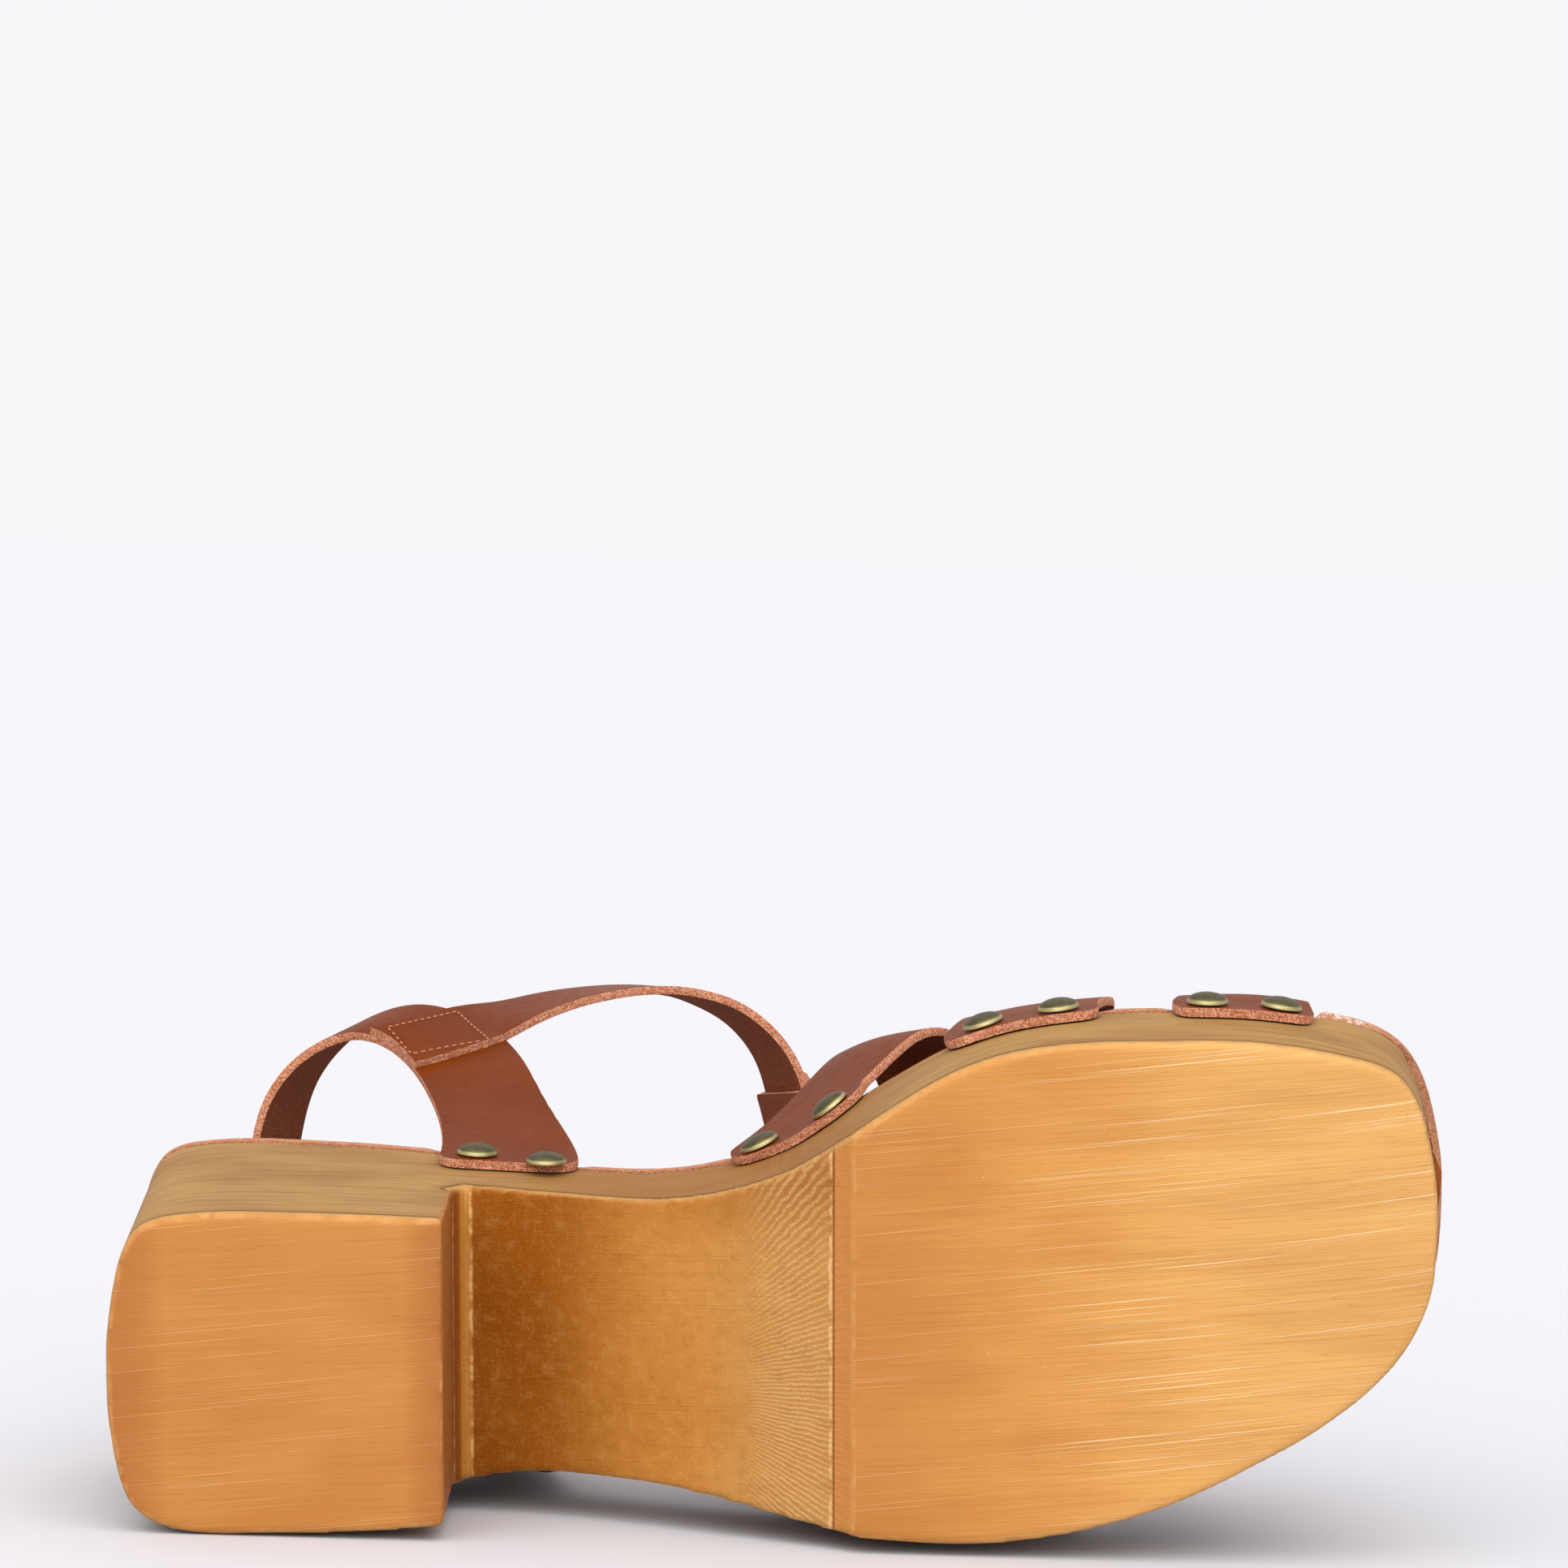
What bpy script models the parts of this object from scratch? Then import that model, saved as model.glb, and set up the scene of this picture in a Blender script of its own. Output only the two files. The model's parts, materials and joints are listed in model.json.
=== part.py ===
"""A left wooden heeled sandal with leather straps, lying on its outer side.

The shoe is drawn standing on its sole: X runs to the toe, Y to the outer side, Z up, in metres. The last
section lays it down on its outer side, where the heel's edge, a nailed strap and the ankle straps touch the
floor, with the bottom of the sole facing -Y.
"""

import math

import bmesh
import bpy
import numpy as np
from mathutils import Matrix, Vector

# Driving dimensions
SOLE_LENGTH = 0.2477
HEEL_WIDTH = 0.0596
WAIST_WIDTH = 0.0535
BALL_WIDTH = 0.0954
HEEL_HEIGHT = 0.0702
PLATFORM_THICKNESS = 0.0285
TOE_SPRING = 0.0060
HEEL_LENGTH = 0.0623
BREAST_HEIGHT = 0.0330
PLATFORM_BACK = 0.1389
REAR_FLARE = 0.0023
TOE_FLARE = 0.0022
WOOD_EDGE = 0.0007
INSOLE_THICKNESS = 0.0030
INSOLE_INSET = 0.0002
LEATHER = 0.0018
NAIL_OVERLAP = 0.0095
NAIL_DROP = 0.0048
FRONT_STRAP_WIDTH = 0.0260
BACK_NAIL_WIDTH = 0.0271
BACK_NAIL_OVERLAP = 0.0115
BACK_NAIL_DROP = 0.0085
BACK_STRAP_RISE = 0.0678
INSTEP_RISE = 0.0500
CORNER_RADIUS = 0.0045
STUD_DIAMETER = 0.0081
STUD_HEIGHT = 0.0020
STUD_SPACING = 0.0138
KEEPER_LENGTH = 0.0100
KEEPER_WALL = 0.0013
TIP_LENGTH = 0.0300
BUCKLE_WIRE = 0.0024
BUCKLE_LENGTH = 0.0150
GAP = 0.0003
STITCHED_IN = 0.0003
PRESSED = 0.86
LEATHER_TO_WOOD_DENSITY = 1.6

WIDTHS = {"heel": HEEL_WIDTH, "waist": WAIST_WIDTH, "ball": BALL_WIDTH}

# Edge of the walking face, heel to toe. Columns: width it follows, share of the length, share of that width
INNER_EDGE = (
    ("heel", 0.0000, -0.100),
    ("heel", 0.0064, -0.277),
    ("heel", 0.0145, -0.398),
    ("heel", 0.0237, -0.455),
    ("heel", 0.0390, -0.483),
    ("heel", 0.0600, -0.495),
    ("heel", 0.1526, -0.497),
    ("heel", 0.2530, -0.480),
    ("waist", 0.3450, -0.516),
    ("waist", 0.4014, -0.523),
    ("waist", 0.4376, -0.546),
    ("ball", 0.4697, -0.331),
    ("ball", 0.4990, -0.360),
    ("ball", 0.5290, -0.402),
    ("ball", 0.5610, -0.469),
    ("ball", 0.5880, -0.515),
    ("ball", 0.6275, -0.580),
    ("ball", 0.6670, -0.624),
    ("ball", 0.7266, -0.654),
    ("ball", 0.7870, -0.662),
    ("ball", 0.8670, -0.657),
    ("ball", 0.9220, -0.632),
    ("ball", 0.9530, -0.608),
    ("ball", 0.9715, -0.575),
    ("ball", 0.9835, -0.526),
    ("ball", 0.9936, -0.438),
    ("ball", 1.0000, -0.344),
)
OUTER_EDGE = (
    ("heel", 0.0000, 0.100),
    ("heel", 0.0072, 0.302),
    ("heel", 0.0177, 0.420),
    ("heel", 0.0357, 0.475),
    ("heel", 0.0562, 0.498),
    ("heel", 0.1204, 0.503),
    ("heel", 0.2168, 0.492),
    ("heel", 0.2530, 0.478),
    ("waist", 0.3010, 0.490),
    ("waist", 0.3814, 0.477),
    ("waist", 0.4536, 0.499),
    ("ball", 0.5098, 0.304),
    ("ball", 0.5568, 0.321),
    ("ball", 0.6020, 0.333),
    ("ball", 0.6423, 0.338),
    ("ball", 0.7122, 0.321),
    ("ball", 0.7852, 0.274),
    ("ball", 0.8583, 0.189),
    ("ball", 0.9318, 0.078),
    ("ball", 0.9687, -0.008),
    ("ball", 0.9868, -0.080),
    ("ball", 0.9968, -0.151),
    ("ball", 1.0000, -0.239),
)

# Footbed seen from the side. Columns: share of the length, share of the way from platform to heel height
FOOTBED = (
    (0.000, 1.026),
    (0.080, 1.000),
    (0.160, 0.947),
    (0.245, 0.837),
    (0.321, 0.671),
    (0.397, 0.480),
    (0.470, 0.312),
    (0.542, 0.175),
    (0.610, 0.084),
    (0.703, 0.019),
    (0.783, 0.000),
    (0.883, -0.005),
    (1.000, -0.036),
)
SPRING_START = 0.790

# Hollow under the arch. Columns: share of the way from the heel's breast to the platform, share of its height
ARCH = (
    (0.033, 1.000),
    (0.091, 0.985),
    (0.157, 0.950),
    (0.287, 0.866),
    (0.418, 0.733),
    (0.496, 0.642),
    (0.600, 0.515),
    (0.705, 0.394),
    (0.796, 0.291),
    (0.888, 0.182),
    (0.963, 0.091),
    (1.000, 0.000),
)
BREAST_FOOT = 0.90

# Height of the last over the footbed. Columns: share of the length, share of the instep rise, bulge past the edge
LAST = (
    (0.42, 1.64, 0.020),
    (0.50, 1.44, 0.055),
    (0.55, 1.30, 0.085),
    (0.60, 1.16, 0.055),
    (0.64, 1.08, 0.010),
    (0.70, 0.98, 0.000),
    (0.76, 0.86, 0.000),
    (0.84, 0.72, 0.000),
    (0.92, 0.60, 0.000),
)
LAST_FULLNESS = 2.2

# Routes of the straps over the last. Columns: turn from the inner to the outer edge, share of the length, of width
REAR_STRAP = (
    (0.00, 0.522, 1.00),
    (0.07, 0.558, 0.92),
    (0.14, 0.588, 0.86),
    (0.22, 0.613, 0.84),
    (0.35, 0.642, 0.86),
    (0.50, 0.662, 0.88),
    (0.65, 0.676, 0.88),
    (0.80, 0.686, 0.90),
    (1.00, 0.690, 0.94),
)
MIDDLE_STRAP = (
    (0.00, 0.692, 1.10),
    (0.07, 0.702, 1.02),
    (0.15, 0.708, 0.98),
    (0.30, 0.704, 0.96),
    (0.50, 0.674, 0.96),
    (0.70, 0.626, 0.96),
    (0.85, 0.588, 0.98),
    (1.00, 0.562, 1.00),
)
TOE_STRAP = (
    (0.00, 0.860, 1.02),
    (0.08, 0.865, 0.92),
    (0.30, 0.860, 0.90),
    (0.50, 0.848, 0.90),
    (0.70, 0.832, 0.90),
    (1.00, 0.815, 0.96),
)

# Back strap from the inner side wall to the middle of the heel, its lower edge and then its upper edge.
# Columns: share of the length, of the heel width and of the back strap's rise, for each edge
BACK_STRAP = (
    (0.2342, -0.530, 0.027, 0.3367, -0.517, -0.018),
    (0.2269, -0.559, 0.218, 0.3246, -0.550, 0.145),
    (0.2176, -0.587, 0.381, 0.3109, -0.596, 0.322),
    (0.2055, -0.624, 0.535, 0.2951, -0.654, 0.543),
    (0.1910, -0.668, 0.639, 0.2757, -0.694, 0.750),
    (0.1716, -0.710, 0.705, 0.2455, -0.737, 0.919),
    (0.1474, -0.725, 0.735, 0.2035, -0.776, 1.000),
    (0.1207, -0.691, 0.735, 0.1627, -0.737, 1.015),
    (0.0945, -0.612, 0.727, 0.1272, -0.626, 1.007),
    (0.0759, -0.503, 0.720, 0.1062, -0.497, 1.000),
    (0.0658, -0.366, 0.712, 0.0949, -0.327, 0.993),
    (0.0610, -0.168, 0.705, 0.0892, -0.151, 0.985),
    (0.0597, 0.000, 0.705, 0.0876, 0.000, 0.985),
)

# Where the ankle strap is stitched on the back strap. Columns: row of the back strap at its lower and upper edge
PATCH = (
    (3.2, 5.45),
    (4.0, 5.35),
)
BACK_END = 0.2913
BACK_STUDS = 0.2939

# Ankle strap from the patch to the middle of the instep, in the same columns as the back strap
ANKLE_STRAP = (
    (0.2975, -0.758, 0.816, 0.2636, -0.767, 1.074),
    (0.3226, -0.794, 0.875, 0.2939, -0.779, 1.162),
    (0.3524, -0.822, 0.926, 0.3282, -0.792, 1.214),
    (0.4130, -0.839, 0.990, 0.4049, -0.785, 1.266),
    (0.4413, -0.821, 1.000, 0.4332, -0.742, 1.270),
    (0.4691, -0.782, 1.003, 0.4590, -0.680, 1.273),
    (0.4921, -0.716, 1.003, 0.4780, -0.596, 1.271),
    (0.5107, -0.631, 1.000, 0.4897, -0.505, 1.268),
    (0.5240, -0.525, 0.993, 0.4962, -0.406, 1.262),
    (0.5333, -0.358, 0.978, 0.5050, -0.252, 1.251),
    (0.5382, -0.175, 0.963, 0.5099, -0.109, 1.233),
    (0.5402, 0.000, 0.956, 0.5115, 0.000, 1.221),
)
KEEPER_ROW = 8.6
BUCKLE_ROW = 12.2

SIDES = {"inner": -1.0, "outer": 1.0}


def smooth_rows(rows, count):
    """Rows of numbers read evenly from one smooth curve through all the rows given."""
    rows = np.array(rows, float)
    chords = np.linalg.norm(np.diff(rows, axis=0), axis=1)
    knots = np.concatenate([[0.0], np.cumsum(chords)])
    slopes = np.gradient(rows, knots, axis=0)
    at = np.linspace(0.0, knots[-1], count)
    first = np.clip(np.searchsorted(knots, at, "right") - 1, 0, len(knots) - 2)
    step = (knots[first + 1] - knots[first])[:, None]
    t = ((at - knots[first])[:, None]) / step
    start, end = rows[first], rows[first + 1]
    start_slope, end_slope = slopes[first] * step, slopes[first + 1] * step
    return (
        (2 * t**3 - 3 * t**2 + 1) * start
        + (t**3 - 2 * t**2 + t) * start_slope
        + (3 * t**2 - 2 * t**3) * end
        + (t**3 - t**2) * end_slope
    )


def smooth_column(rows, column, at):
    """One column of a table, read smoothly at a value of the table's first column."""
    dense = smooth_rows([(row[0], row[column]) for row in rows], 24 * len(rows))
    return np.interp(at, dense[:, 0], dense[:, 1])


def eased(value):
    value = np.clip(value, 0.0, 1.0)
    return value * value * (3.0 - 2.0 * value)


def unit(vectors):
    return vectors / np.linalg.norm(vectors, axis=-1, keepdims=True)


def new_object(name, mesh, material):
    piece = bpy.data.objects.new(name, mesh)
    bpy.context.scene.collection.objects.link(piece)
    mesh.materials.append(material)
    mesh.shade_smooth()
    mesh.set_sharp_from_angle(angle=math.radians(32))
    return piece


def mesh_from(name, points, faces):
    """A closed mesh with its faces pointing out."""
    mesh = bpy.data.meshes.new(name)
    mesh.from_pydata([tuple(map(float, point)) for point in points], [], faces)
    shape = bmesh.new()
    shape.from_mesh(mesh)
    bmesh.ops.recalc_face_normals(shape, faces=shape.faces)
    if shape.calc_volume(signed=True) < 0:
        bmesh.ops.reverse_faces(shape, faces=shape.faces)
    shape.to_mesh(mesh)
    shape.free()
    return mesh


def finish(name, colour, roughness, metallic=0.0):
    material = bpy.data.materials.new(name)
    material.use_nodes = True
    surface = material.node_tree.nodes["Principled BSDF"]
    surface.inputs["Base Color"].default_value = (*colour, 1.0)
    surface.inputs["Roughness"].default_value = roughness
    surface.inputs["Metallic"].default_value = metallic
    return material


# Outline and side view of the sole
STATION_COUNT = 66
END_CROWDING = 0.86


def edge_line(table):
    rows = [(along * SOLE_LENGTH, out * WIDTHS[width]) for width, along, out in table]
    return smooth_rows(rows, 30 * len(rows))


def sole_outline():
    """Points round the walking face: up the inner edge to the toe, and back down the outer edge."""
    even = np.linspace(0.0, 1.0, STATION_COUNT)
    crowded = even - END_CROWDING * np.sin(2 * math.pi * even) / (2 * math.pi)
    stations = crowded * SOLE_LENGTH
    inner, outer = edge_line(INNER_EDGE), edge_line(OUTER_EDGE)
    inner_side = np.stack([stations, np.interp(stations, inner[:, 0], inner[:, 1])], axis=1)
    outer_side = np.stack([stations, np.interp(stations, outer[:, 0], outer[:, 1])], axis=1)
    return np.concatenate([inner_side, outer_side[::-1]])


def outline_normals(ring):
    along = np.roll(ring, -1, axis=0) - np.roll(ring, 1, axis=0)
    return unit(np.stack([along[:, 1], -along[:, 0]], axis=1))


def grown(ring, distance):
    return ring + outline_normals(ring) * distance


def spring(x):
    past = np.clip((x / SOLE_LENGTH - SPRING_START) / (1.0 - SPRING_START), 0.0, 1.2)
    return TOE_SPRING * past**2


def footbed_height(x):
    share = smooth_column(FOOTBED, 1, np.asarray(x) / SOLE_LENGTH)
    return PLATFORM_THICKNESS + share * (HEEL_HEIGHT - PLATFORM_THICKNESS) + spring(x)


def flare(x):
    """How far the footbed reaches past the walking face, lengthwise."""
    share = np.asarray(x) / SOLE_LENGTH
    return -REAR_FLARE + share * (REAR_FLARE + TOE_FLARE)


WALKING_EDGE = sole_outline()
WALL_FOOT = grown(WALKING_EDGE, WOOD_EDGE)
WALL_TOP = np.stack([WALL_FOOT[:, 0] + flare(WALL_FOOT[:, 0]), WALL_FOOT[:, 1]], axis=1)


def at_height(ring, height):
    return np.column_stack([ring, height])


def ringed_solid(rings):
    """Points and faces of a solid stacked from rings, its caps laid across like the rungs of a ladder."""
    size = len(rings[0])
    half = size // 2
    points = np.concatenate(rings)
    faces = []
    for level in range(len(rings) - 1):
        low, high = level * size, (level + 1) * size
        for i in range(size):
            j = (i + 1) % size
            faces.append((low + i, low + j, high + j, high + i))
    top = (len(rings) - 1) * size
    for i in range(half - 1):
        across = size - 1 - i
        faces.append((i, across, across - 1, i + 1))
        faces.append((top + i, top + i + 1, top + across - 1, top + across))
    return points, faces


def make_sole(material):
    low = spring(WALKING_EDGE[:, 0])
    high = footbed_height(WALL_TOP[:, 0])
    top_edge = grown(WALL_TOP, -WOOD_EDGE)
    rings = [
        at_height(WALKING_EDGE, low),
        at_height(WALL_FOOT, low + WOOD_EDGE),
        at_height(WALL_TOP, high - WOOD_EDGE),
        at_height(top_edge, high),
    ]
    points, faces = ringed_solid(rings)
    sole = new_object("wooden_sole", mesh_from("wooden_sole", points, faces), material)
    cut = sole.modifiers.new("arch", "BOOLEAN")
    cut.operation = "DIFFERENCE"
    cut.solver = "EXACT"
    cut.object = make_arch_cutter()
    return sole


def arch_profile():
    """The hollow from the side: up the heel's breast, along the arch and down to the platform's back edge."""
    reach = PLATFORM_BACK - HEEL_LENGTH
    below = -TOE_SPRING
    curve = [(HEEL_LENGTH + span * reach, height * BREAST_HEIGHT) for span, height in ARCH]
    arch = smooth_rows(curve[:-1], 26)
    front = curve[-1]
    last = arch[-1]
    slope = (front[1] - last[1]) / (front[0] - last[0])
    out = (front[0] + below / slope, below)
    corner = (HEEL_LENGTH, BREAST_FOOT * BREAST_HEIGHT)
    return [(HEEL_LENGTH, below), corner, *map(tuple, arch), out]


def make_arch_cutter():
    half_width = BALL_WIDTH
    profile = arch_profile()
    count = len(profile)
    points = [(x, -half_width, z) for x, z in profile] + [(x, half_width, z) for x, z in profile]
    faces = [tuple(range(count)), tuple(range(2 * count - 1, count - 1, -1))]
    faces += [(i, (i + 1) % count, (i + 1) % count + count, i + count) for i in range(count)]
    mesh = mesh_from("arch_cutter", points, faces)
    cutter = bpy.data.objects.new("arch_cutter", mesh)
    bpy.context.scene.collection.objects.link(cutter)
    cutter.hide_render = True
    cutter.display_type = "WIRE"
    return cutter


def make_insole(material):
    edge = grown(WALL_TOP, -INSOLE_INSET)
    top = grown(edge, -INSOLE_THICKNESS / 4)
    height = footbed_height(WALL_TOP[:, 0]) + GAP
    rings = [
        at_height(edge, height),
        at_height(edge, height + 0.7 * INSOLE_THICKNESS),
        at_height(top, height + INSOLE_THICKNESS),
    ]
    points, faces = ringed_solid(rings)
    return new_object("insole", mesh_from("insole", points, faces), material)


# Side walls, which the straps are nailed to
HALF_RING = STATION_COUNT
WALL_LINES = {"inner": WALL_FOOT[:HALF_RING], "outer": WALL_FOOT[HALF_RING:][::-1]}


def wall_point(side, x, z, off):
    """A point at this height on the wood's side, moved straight out of the wall by a distance."""
    line = WALL_LINES[side]
    share = np.clip(z / footbed_height(x), 0.0, 1.0)
    foot_x = x - flare(x) * share
    step = SOLE_LENGTH / 200
    y = np.interp(foot_x, line[:, 0], line[:, 1])
    ahead = np.interp(foot_x + step, line[:, 0], line[:, 1])
    behind = np.interp(foot_x - step, line[:, 0], line[:, 1])
    slope = (ahead - behind) / (2 * step)
    normal = unit(np.array([-slope, 1.0]) * SIDES[side])
    return np.array([x + normal[0] * off, y + normal[1] * off, z])


STRAP_OFF = GAP + LEATHER / 2


def last_point(x, turn):
    """A point of the last over the footbed, from the inner edge (turn 0) to the outer edge (turn 1)."""
    base = float(footbed_height(x))
    inner = wall_point("inner", x, base, STRAP_OFF)
    outer = wall_point("outer", x, base, STRAP_OFF)
    share = x / SOLE_LENGTH
    rise = smooth_column(LAST, 1, share) * INSTEP_RISE
    bulge = smooth_column(LAST, 2, share) * BALL_WIDTH
    angle = math.pi * turn
    power = 2.0 / LAST_FULLNESS
    across = math.copysign(abs(math.cos(angle)) ** power, math.cos(angle))
    up = max(math.sin(angle), 0.0) ** power
    centre, half = (inner + outer) / 2, (inner - outer) / 2
    point = centre + half * across
    point[2] = base + rise * up
    if turn < 0.5:
        point[1] -= bulge * math.sin(2 * angle) ** 2
    return point


CORNER_STEPS = (0.0, 0.12, 0.32, 0.62, 1.0)
ACROSS = np.linspace(-1.0, 1.0, 6)


def corner_width(half_width, past_end):
    """Half the width of a strap end with rounded corners, at a distance from its very end."""
    if past_end >= CORNER_RADIUS:
        return half_width
    return half_width - CORNER_RADIUS + math.sqrt(CORNER_RADIUS**2 - (CORNER_RADIUS - past_end) ** 2)


def nailed_rows(side, centre, half_width, overlap):
    """Rows of a strap's middle surface on the wood's side, from its cut end up to the footbed."""
    ends = [step * CORNER_RADIUS for step in CORNER_STEPS]
    rows = []
    for past_end in [*ends, (CORNER_RADIUS + overlap) / 2, 0.82 * overlap]:
        half = corner_width(half_width, past_end)
        row = []
        for share in ACROSS:
            x = centre + share * half
            row.append(wall_point(side, x, float(footbed_height(x)) - overlap + past_end, STRAP_OFF))
        rows.append(row)
    return rows


def crossing_surface(route, turns=24):
    """The middle surface of a strap that runs over the last and is nailed on both sides."""
    half = FRONT_STRAP_WIDTH / 2
    rows = []
    for turn in np.linspace(0.0, 1.0, turns):
        centre = smooth_column(route, 1, turn) * SOLE_LENGTH
        width = smooth_column(route, 2, turn) * half
        rows.append([last_point(centre + share * width, turn) for share in ACROSS])
    first, last = route[0], route[-1]
    inner = nailed_rows("inner", first[1] * SOLE_LENGTH, first[2] * half, NAIL_OVERLAP)
    outer = nailed_rows("outer", last[1] * SOLE_LENGTH, last[2] * half, NAIL_OVERLAP)
    return np.array([*inner, *rows, *outer[::-1]])


def surface_normals(surface):
    """Normals of a strap's middle surface, away from the foot."""
    along = unit(np.gradient(surface, axis=0))
    across = unit(np.gradient(surface, axis=1))
    return unit(np.cross(across, along))


def leather_wall(surface, normals, thickness=LEATHER):
    """Points and faces of a sheet of leather laid evenly about its middle surface."""
    rows, columns = surface.shape[:2]
    outside = (surface + normals * thickness / 2).reshape(-1, 3)
    inside = (surface - normals * thickness / 2).reshape(-1, 3)
    under = rows * columns
    faces = []
    for row in range(rows - 1):
        for column in range(columns - 1):
            a = row * columns + column
            b, c, d = a + 1, a + columns + 1, a + columns
            faces.append((a, b, c, d))
            faces.append((under + d, under + c, under + b, under + a))
    rim = [row * columns for row in range(rows)]
    rim += [(rows - 1) * columns + column for column in range(1, columns)]
    rim += [row * columns + columns - 1 for row in range(rows - 2, -1, -1)]
    rim += list(range(columns - 2, 0, -1))
    for place, a in enumerate(rim):
        b = rim[(place + 1) % len(rim)]
        faces.append((a, b, under + b, under + a))
    return np.concatenate([outside, inside]), faces


def joined(name, first, others, material):
    """One leather piece from several sheets that run into each other."""
    points, faces = first
    piece = new_object(name, mesh_from(name, points, faces), material)
    for number, (points, faces) in enumerate(others, 1):
        mesh = mesh_from(f"{name}_joined_{number}", points, faces)
        sheet = bpy.data.objects.new(mesh.name, mesh)
        bpy.context.scene.collection.objects.link(sheet)
        sheet.hide_render = True
        sheet.display_type = "WIRE"
        union = piece.modifiers.new(f"join_{number}", "BOOLEAN")
        union.operation = "UNION"
        union.solver = "EXACT"
        union.object = sheet
    return piece


def make_front_straps(material):
    """The rear strap runs forward under the middle strap, and the two are joined where they cross."""
    under = crossing_surface(REAR_STRAP)
    over = crossing_surface(MIDDLE_STRAP)
    apart = np.abs(under[:, :, 0].mean(axis=1) - over[:, :, 0].mean(axis=1))
    lift = (LEATHER - STITCHED_IN) * eased(1.0 - (apart / FRONT_STRAP_WIDTH - 0.95) / 0.45)
    nailed = len(CORNER_STEPS) + 2
    lift[:nailed] = 0.0
    lift[-nailed:] = 0.0
    ramp = np.arange(len(lift)) - nailed
    lift *= eased(ramp / 4.0) * eased(ramp[::-1] / 4.0)
    over = over + surface_normals(over) * lift[:, None, None]
    return joined(
        "front_straps",
        leather_wall(under, surface_normals(under)),
        [leather_wall(over, surface_normals(over))],
        material,
    )


def make_toe_strap(material):
    surface = crossing_surface(TOE_STRAP)
    points, faces = leather_wall(surface, surface_normals(surface))
    return new_object("toe_strap", mesh_from("toe_strap", points, faces), material)


def heel_point(along, out, up):
    return (along * SOLE_LENGTH, out * HEEL_WIDTH, HEEL_HEIGHT + up * BACK_STRAP_RISE)


def rail_rows(table):
    """The lower and upper edge of a strap, six numbers a row."""
    return np.array([(*heel_point(*row[:3]), *heel_point(*row[3:])) for row in table])


def mirrored(rows):
    """The same rows on the outer side in reverse order, pressed flatter higher up, where the shoe lies on them."""
    rows = rows.copy()
    for out, up in ((1, 2), (4, 5)):
        risen = (rows[:, up] - HEEL_HEIGHT) / BACK_STRAP_RISE
        rows[:, out] *= -1.0 + (1.0 - PRESSED) * eased(risen / 0.7)
    return rows[::-1]


BACK_NAIL_CENTRE = BACK_END * SOLE_LENGTH


def back_nailed_rows(side):
    """Rows where the back strap lies on the wood, its cut end parallel to the footbed there."""
    middle = float(footbed_height(BACK_NAIL_CENTRE))
    rows = []
    ends = [step * CORNER_RADIUS for step in CORNER_STEPS]
    for past_end in [*ends, BACK_NAIL_OVERLAP * 0.7]:
        half = corner_width(BACK_NAIL_WIDTH / 2, past_end)
        z = middle - BACK_NAIL_OVERLAP + past_end
        low = wall_point(side, BACK_NAIL_CENTRE - half, z, STRAP_OFF)
        high = wall_point(side, BACK_NAIL_CENTRE + half, z, STRAP_OFF)
        rows.append((*low, *high))
    return np.array(rows)


FREE_ROWS = len(BACK_STRAP)
NAILED_ROWS = len(CORNER_STEPS) + 1
ROW_STEPS = 4


def dense_rows(rows, steps):
    """Rows with a number of steps from each row to the next, on a smooth curve through them."""
    chords = np.linalg.norm(np.diff(rows, axis=0), axis=1)
    knots = np.concatenate([[0.0], np.cumsum(chords)])
    slopes = np.gradient(rows, knots, axis=0)
    result = []
    for i, span in enumerate(chords):
        for t in np.arange(steps) / steps:
            result.append(
                (2 * t**3 - 3 * t**2 + 1) * rows[i]
                + (t**3 - 2 * t**2 + t) * slopes[i] * span
                + (3 * t**2 - 2 * t**3) * rows[i + 1]
                + (t**3 - t**2) * slopes[i + 1] * span
            )
    result.append(rows[-1])
    return np.array(result)


def between_rails(rows):
    share = (ACROSS[None, :, None] + 1) / 2
    return rows[:, None, :3] * (1 - share) + rows[:, None, 3:] * share


def back_strap_rows():
    free = rail_rows(BACK_STRAP)
    inner = np.concatenate([back_nailed_rows("inner"), free])
    outer = np.concatenate([mirrored(free)[1:], back_nailed_rows("outer")[::-1]])
    return np.concatenate([inner, outer])


def held_to_wood(surface):
    """The back strap with its ends laid on the curved side walls, eased off above the footbed."""
    surface = surface.copy()
    for point in surface.reshape(-1, 3):
        top = float(footbed_height(point[0]))
        hold = eased(1.0 - (point[2] - top) / BACK_NAIL_OVERLAP)
        if hold > 0.0:
            side = "inner" if point[1] < 0 else "outer"
            wall = wall_point(side, point[0], min(point[2], top), STRAP_OFF)
            point[1] += hold * (wall[1] - point[1])
    return surface


def surface_at(surface, row, across):
    """A point read from a grid of points, at a fractional row and a share of the way across."""
    rows, columns = surface.shape[:2]
    row = min(max(row, 0.0), rows - 1.001)
    column = min(max(across * (columns - 1), 0.0), columns - 1.001)
    i, j = int(row), int(column)
    s, t = row - i, column - j
    near = surface[i, j] * (1 - t) + surface[i, j + 1] * t
    far = surface[i + 1, j] * (1 - t) + surface[i + 1, j + 1] * t
    return near * (1 - s) + far * s


PATCH_STEPS = 7


def patch_surface(outside_of, mirror):
    """The stitched end of the ankle strap, laid on the outside of the back strap."""
    last_row = len(outside_of) - 1
    rows = []
    for step in np.linspace(0.0, 1.0, PATCH_STEPS):
        low, high = np.array(PATCH[0]) * (1 - step) + np.array(PATCH[1]) * step
        row = []
        for share in (ACROSS + 1) / 2:
            place = (NAILED_ROWS + low * (1 - share) + high * share) * ROW_STEPS
            row.append(surface_at(outside_of, last_row - place if mirror else place, step))
        rows.append(row)
    return np.array(rows)


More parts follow.
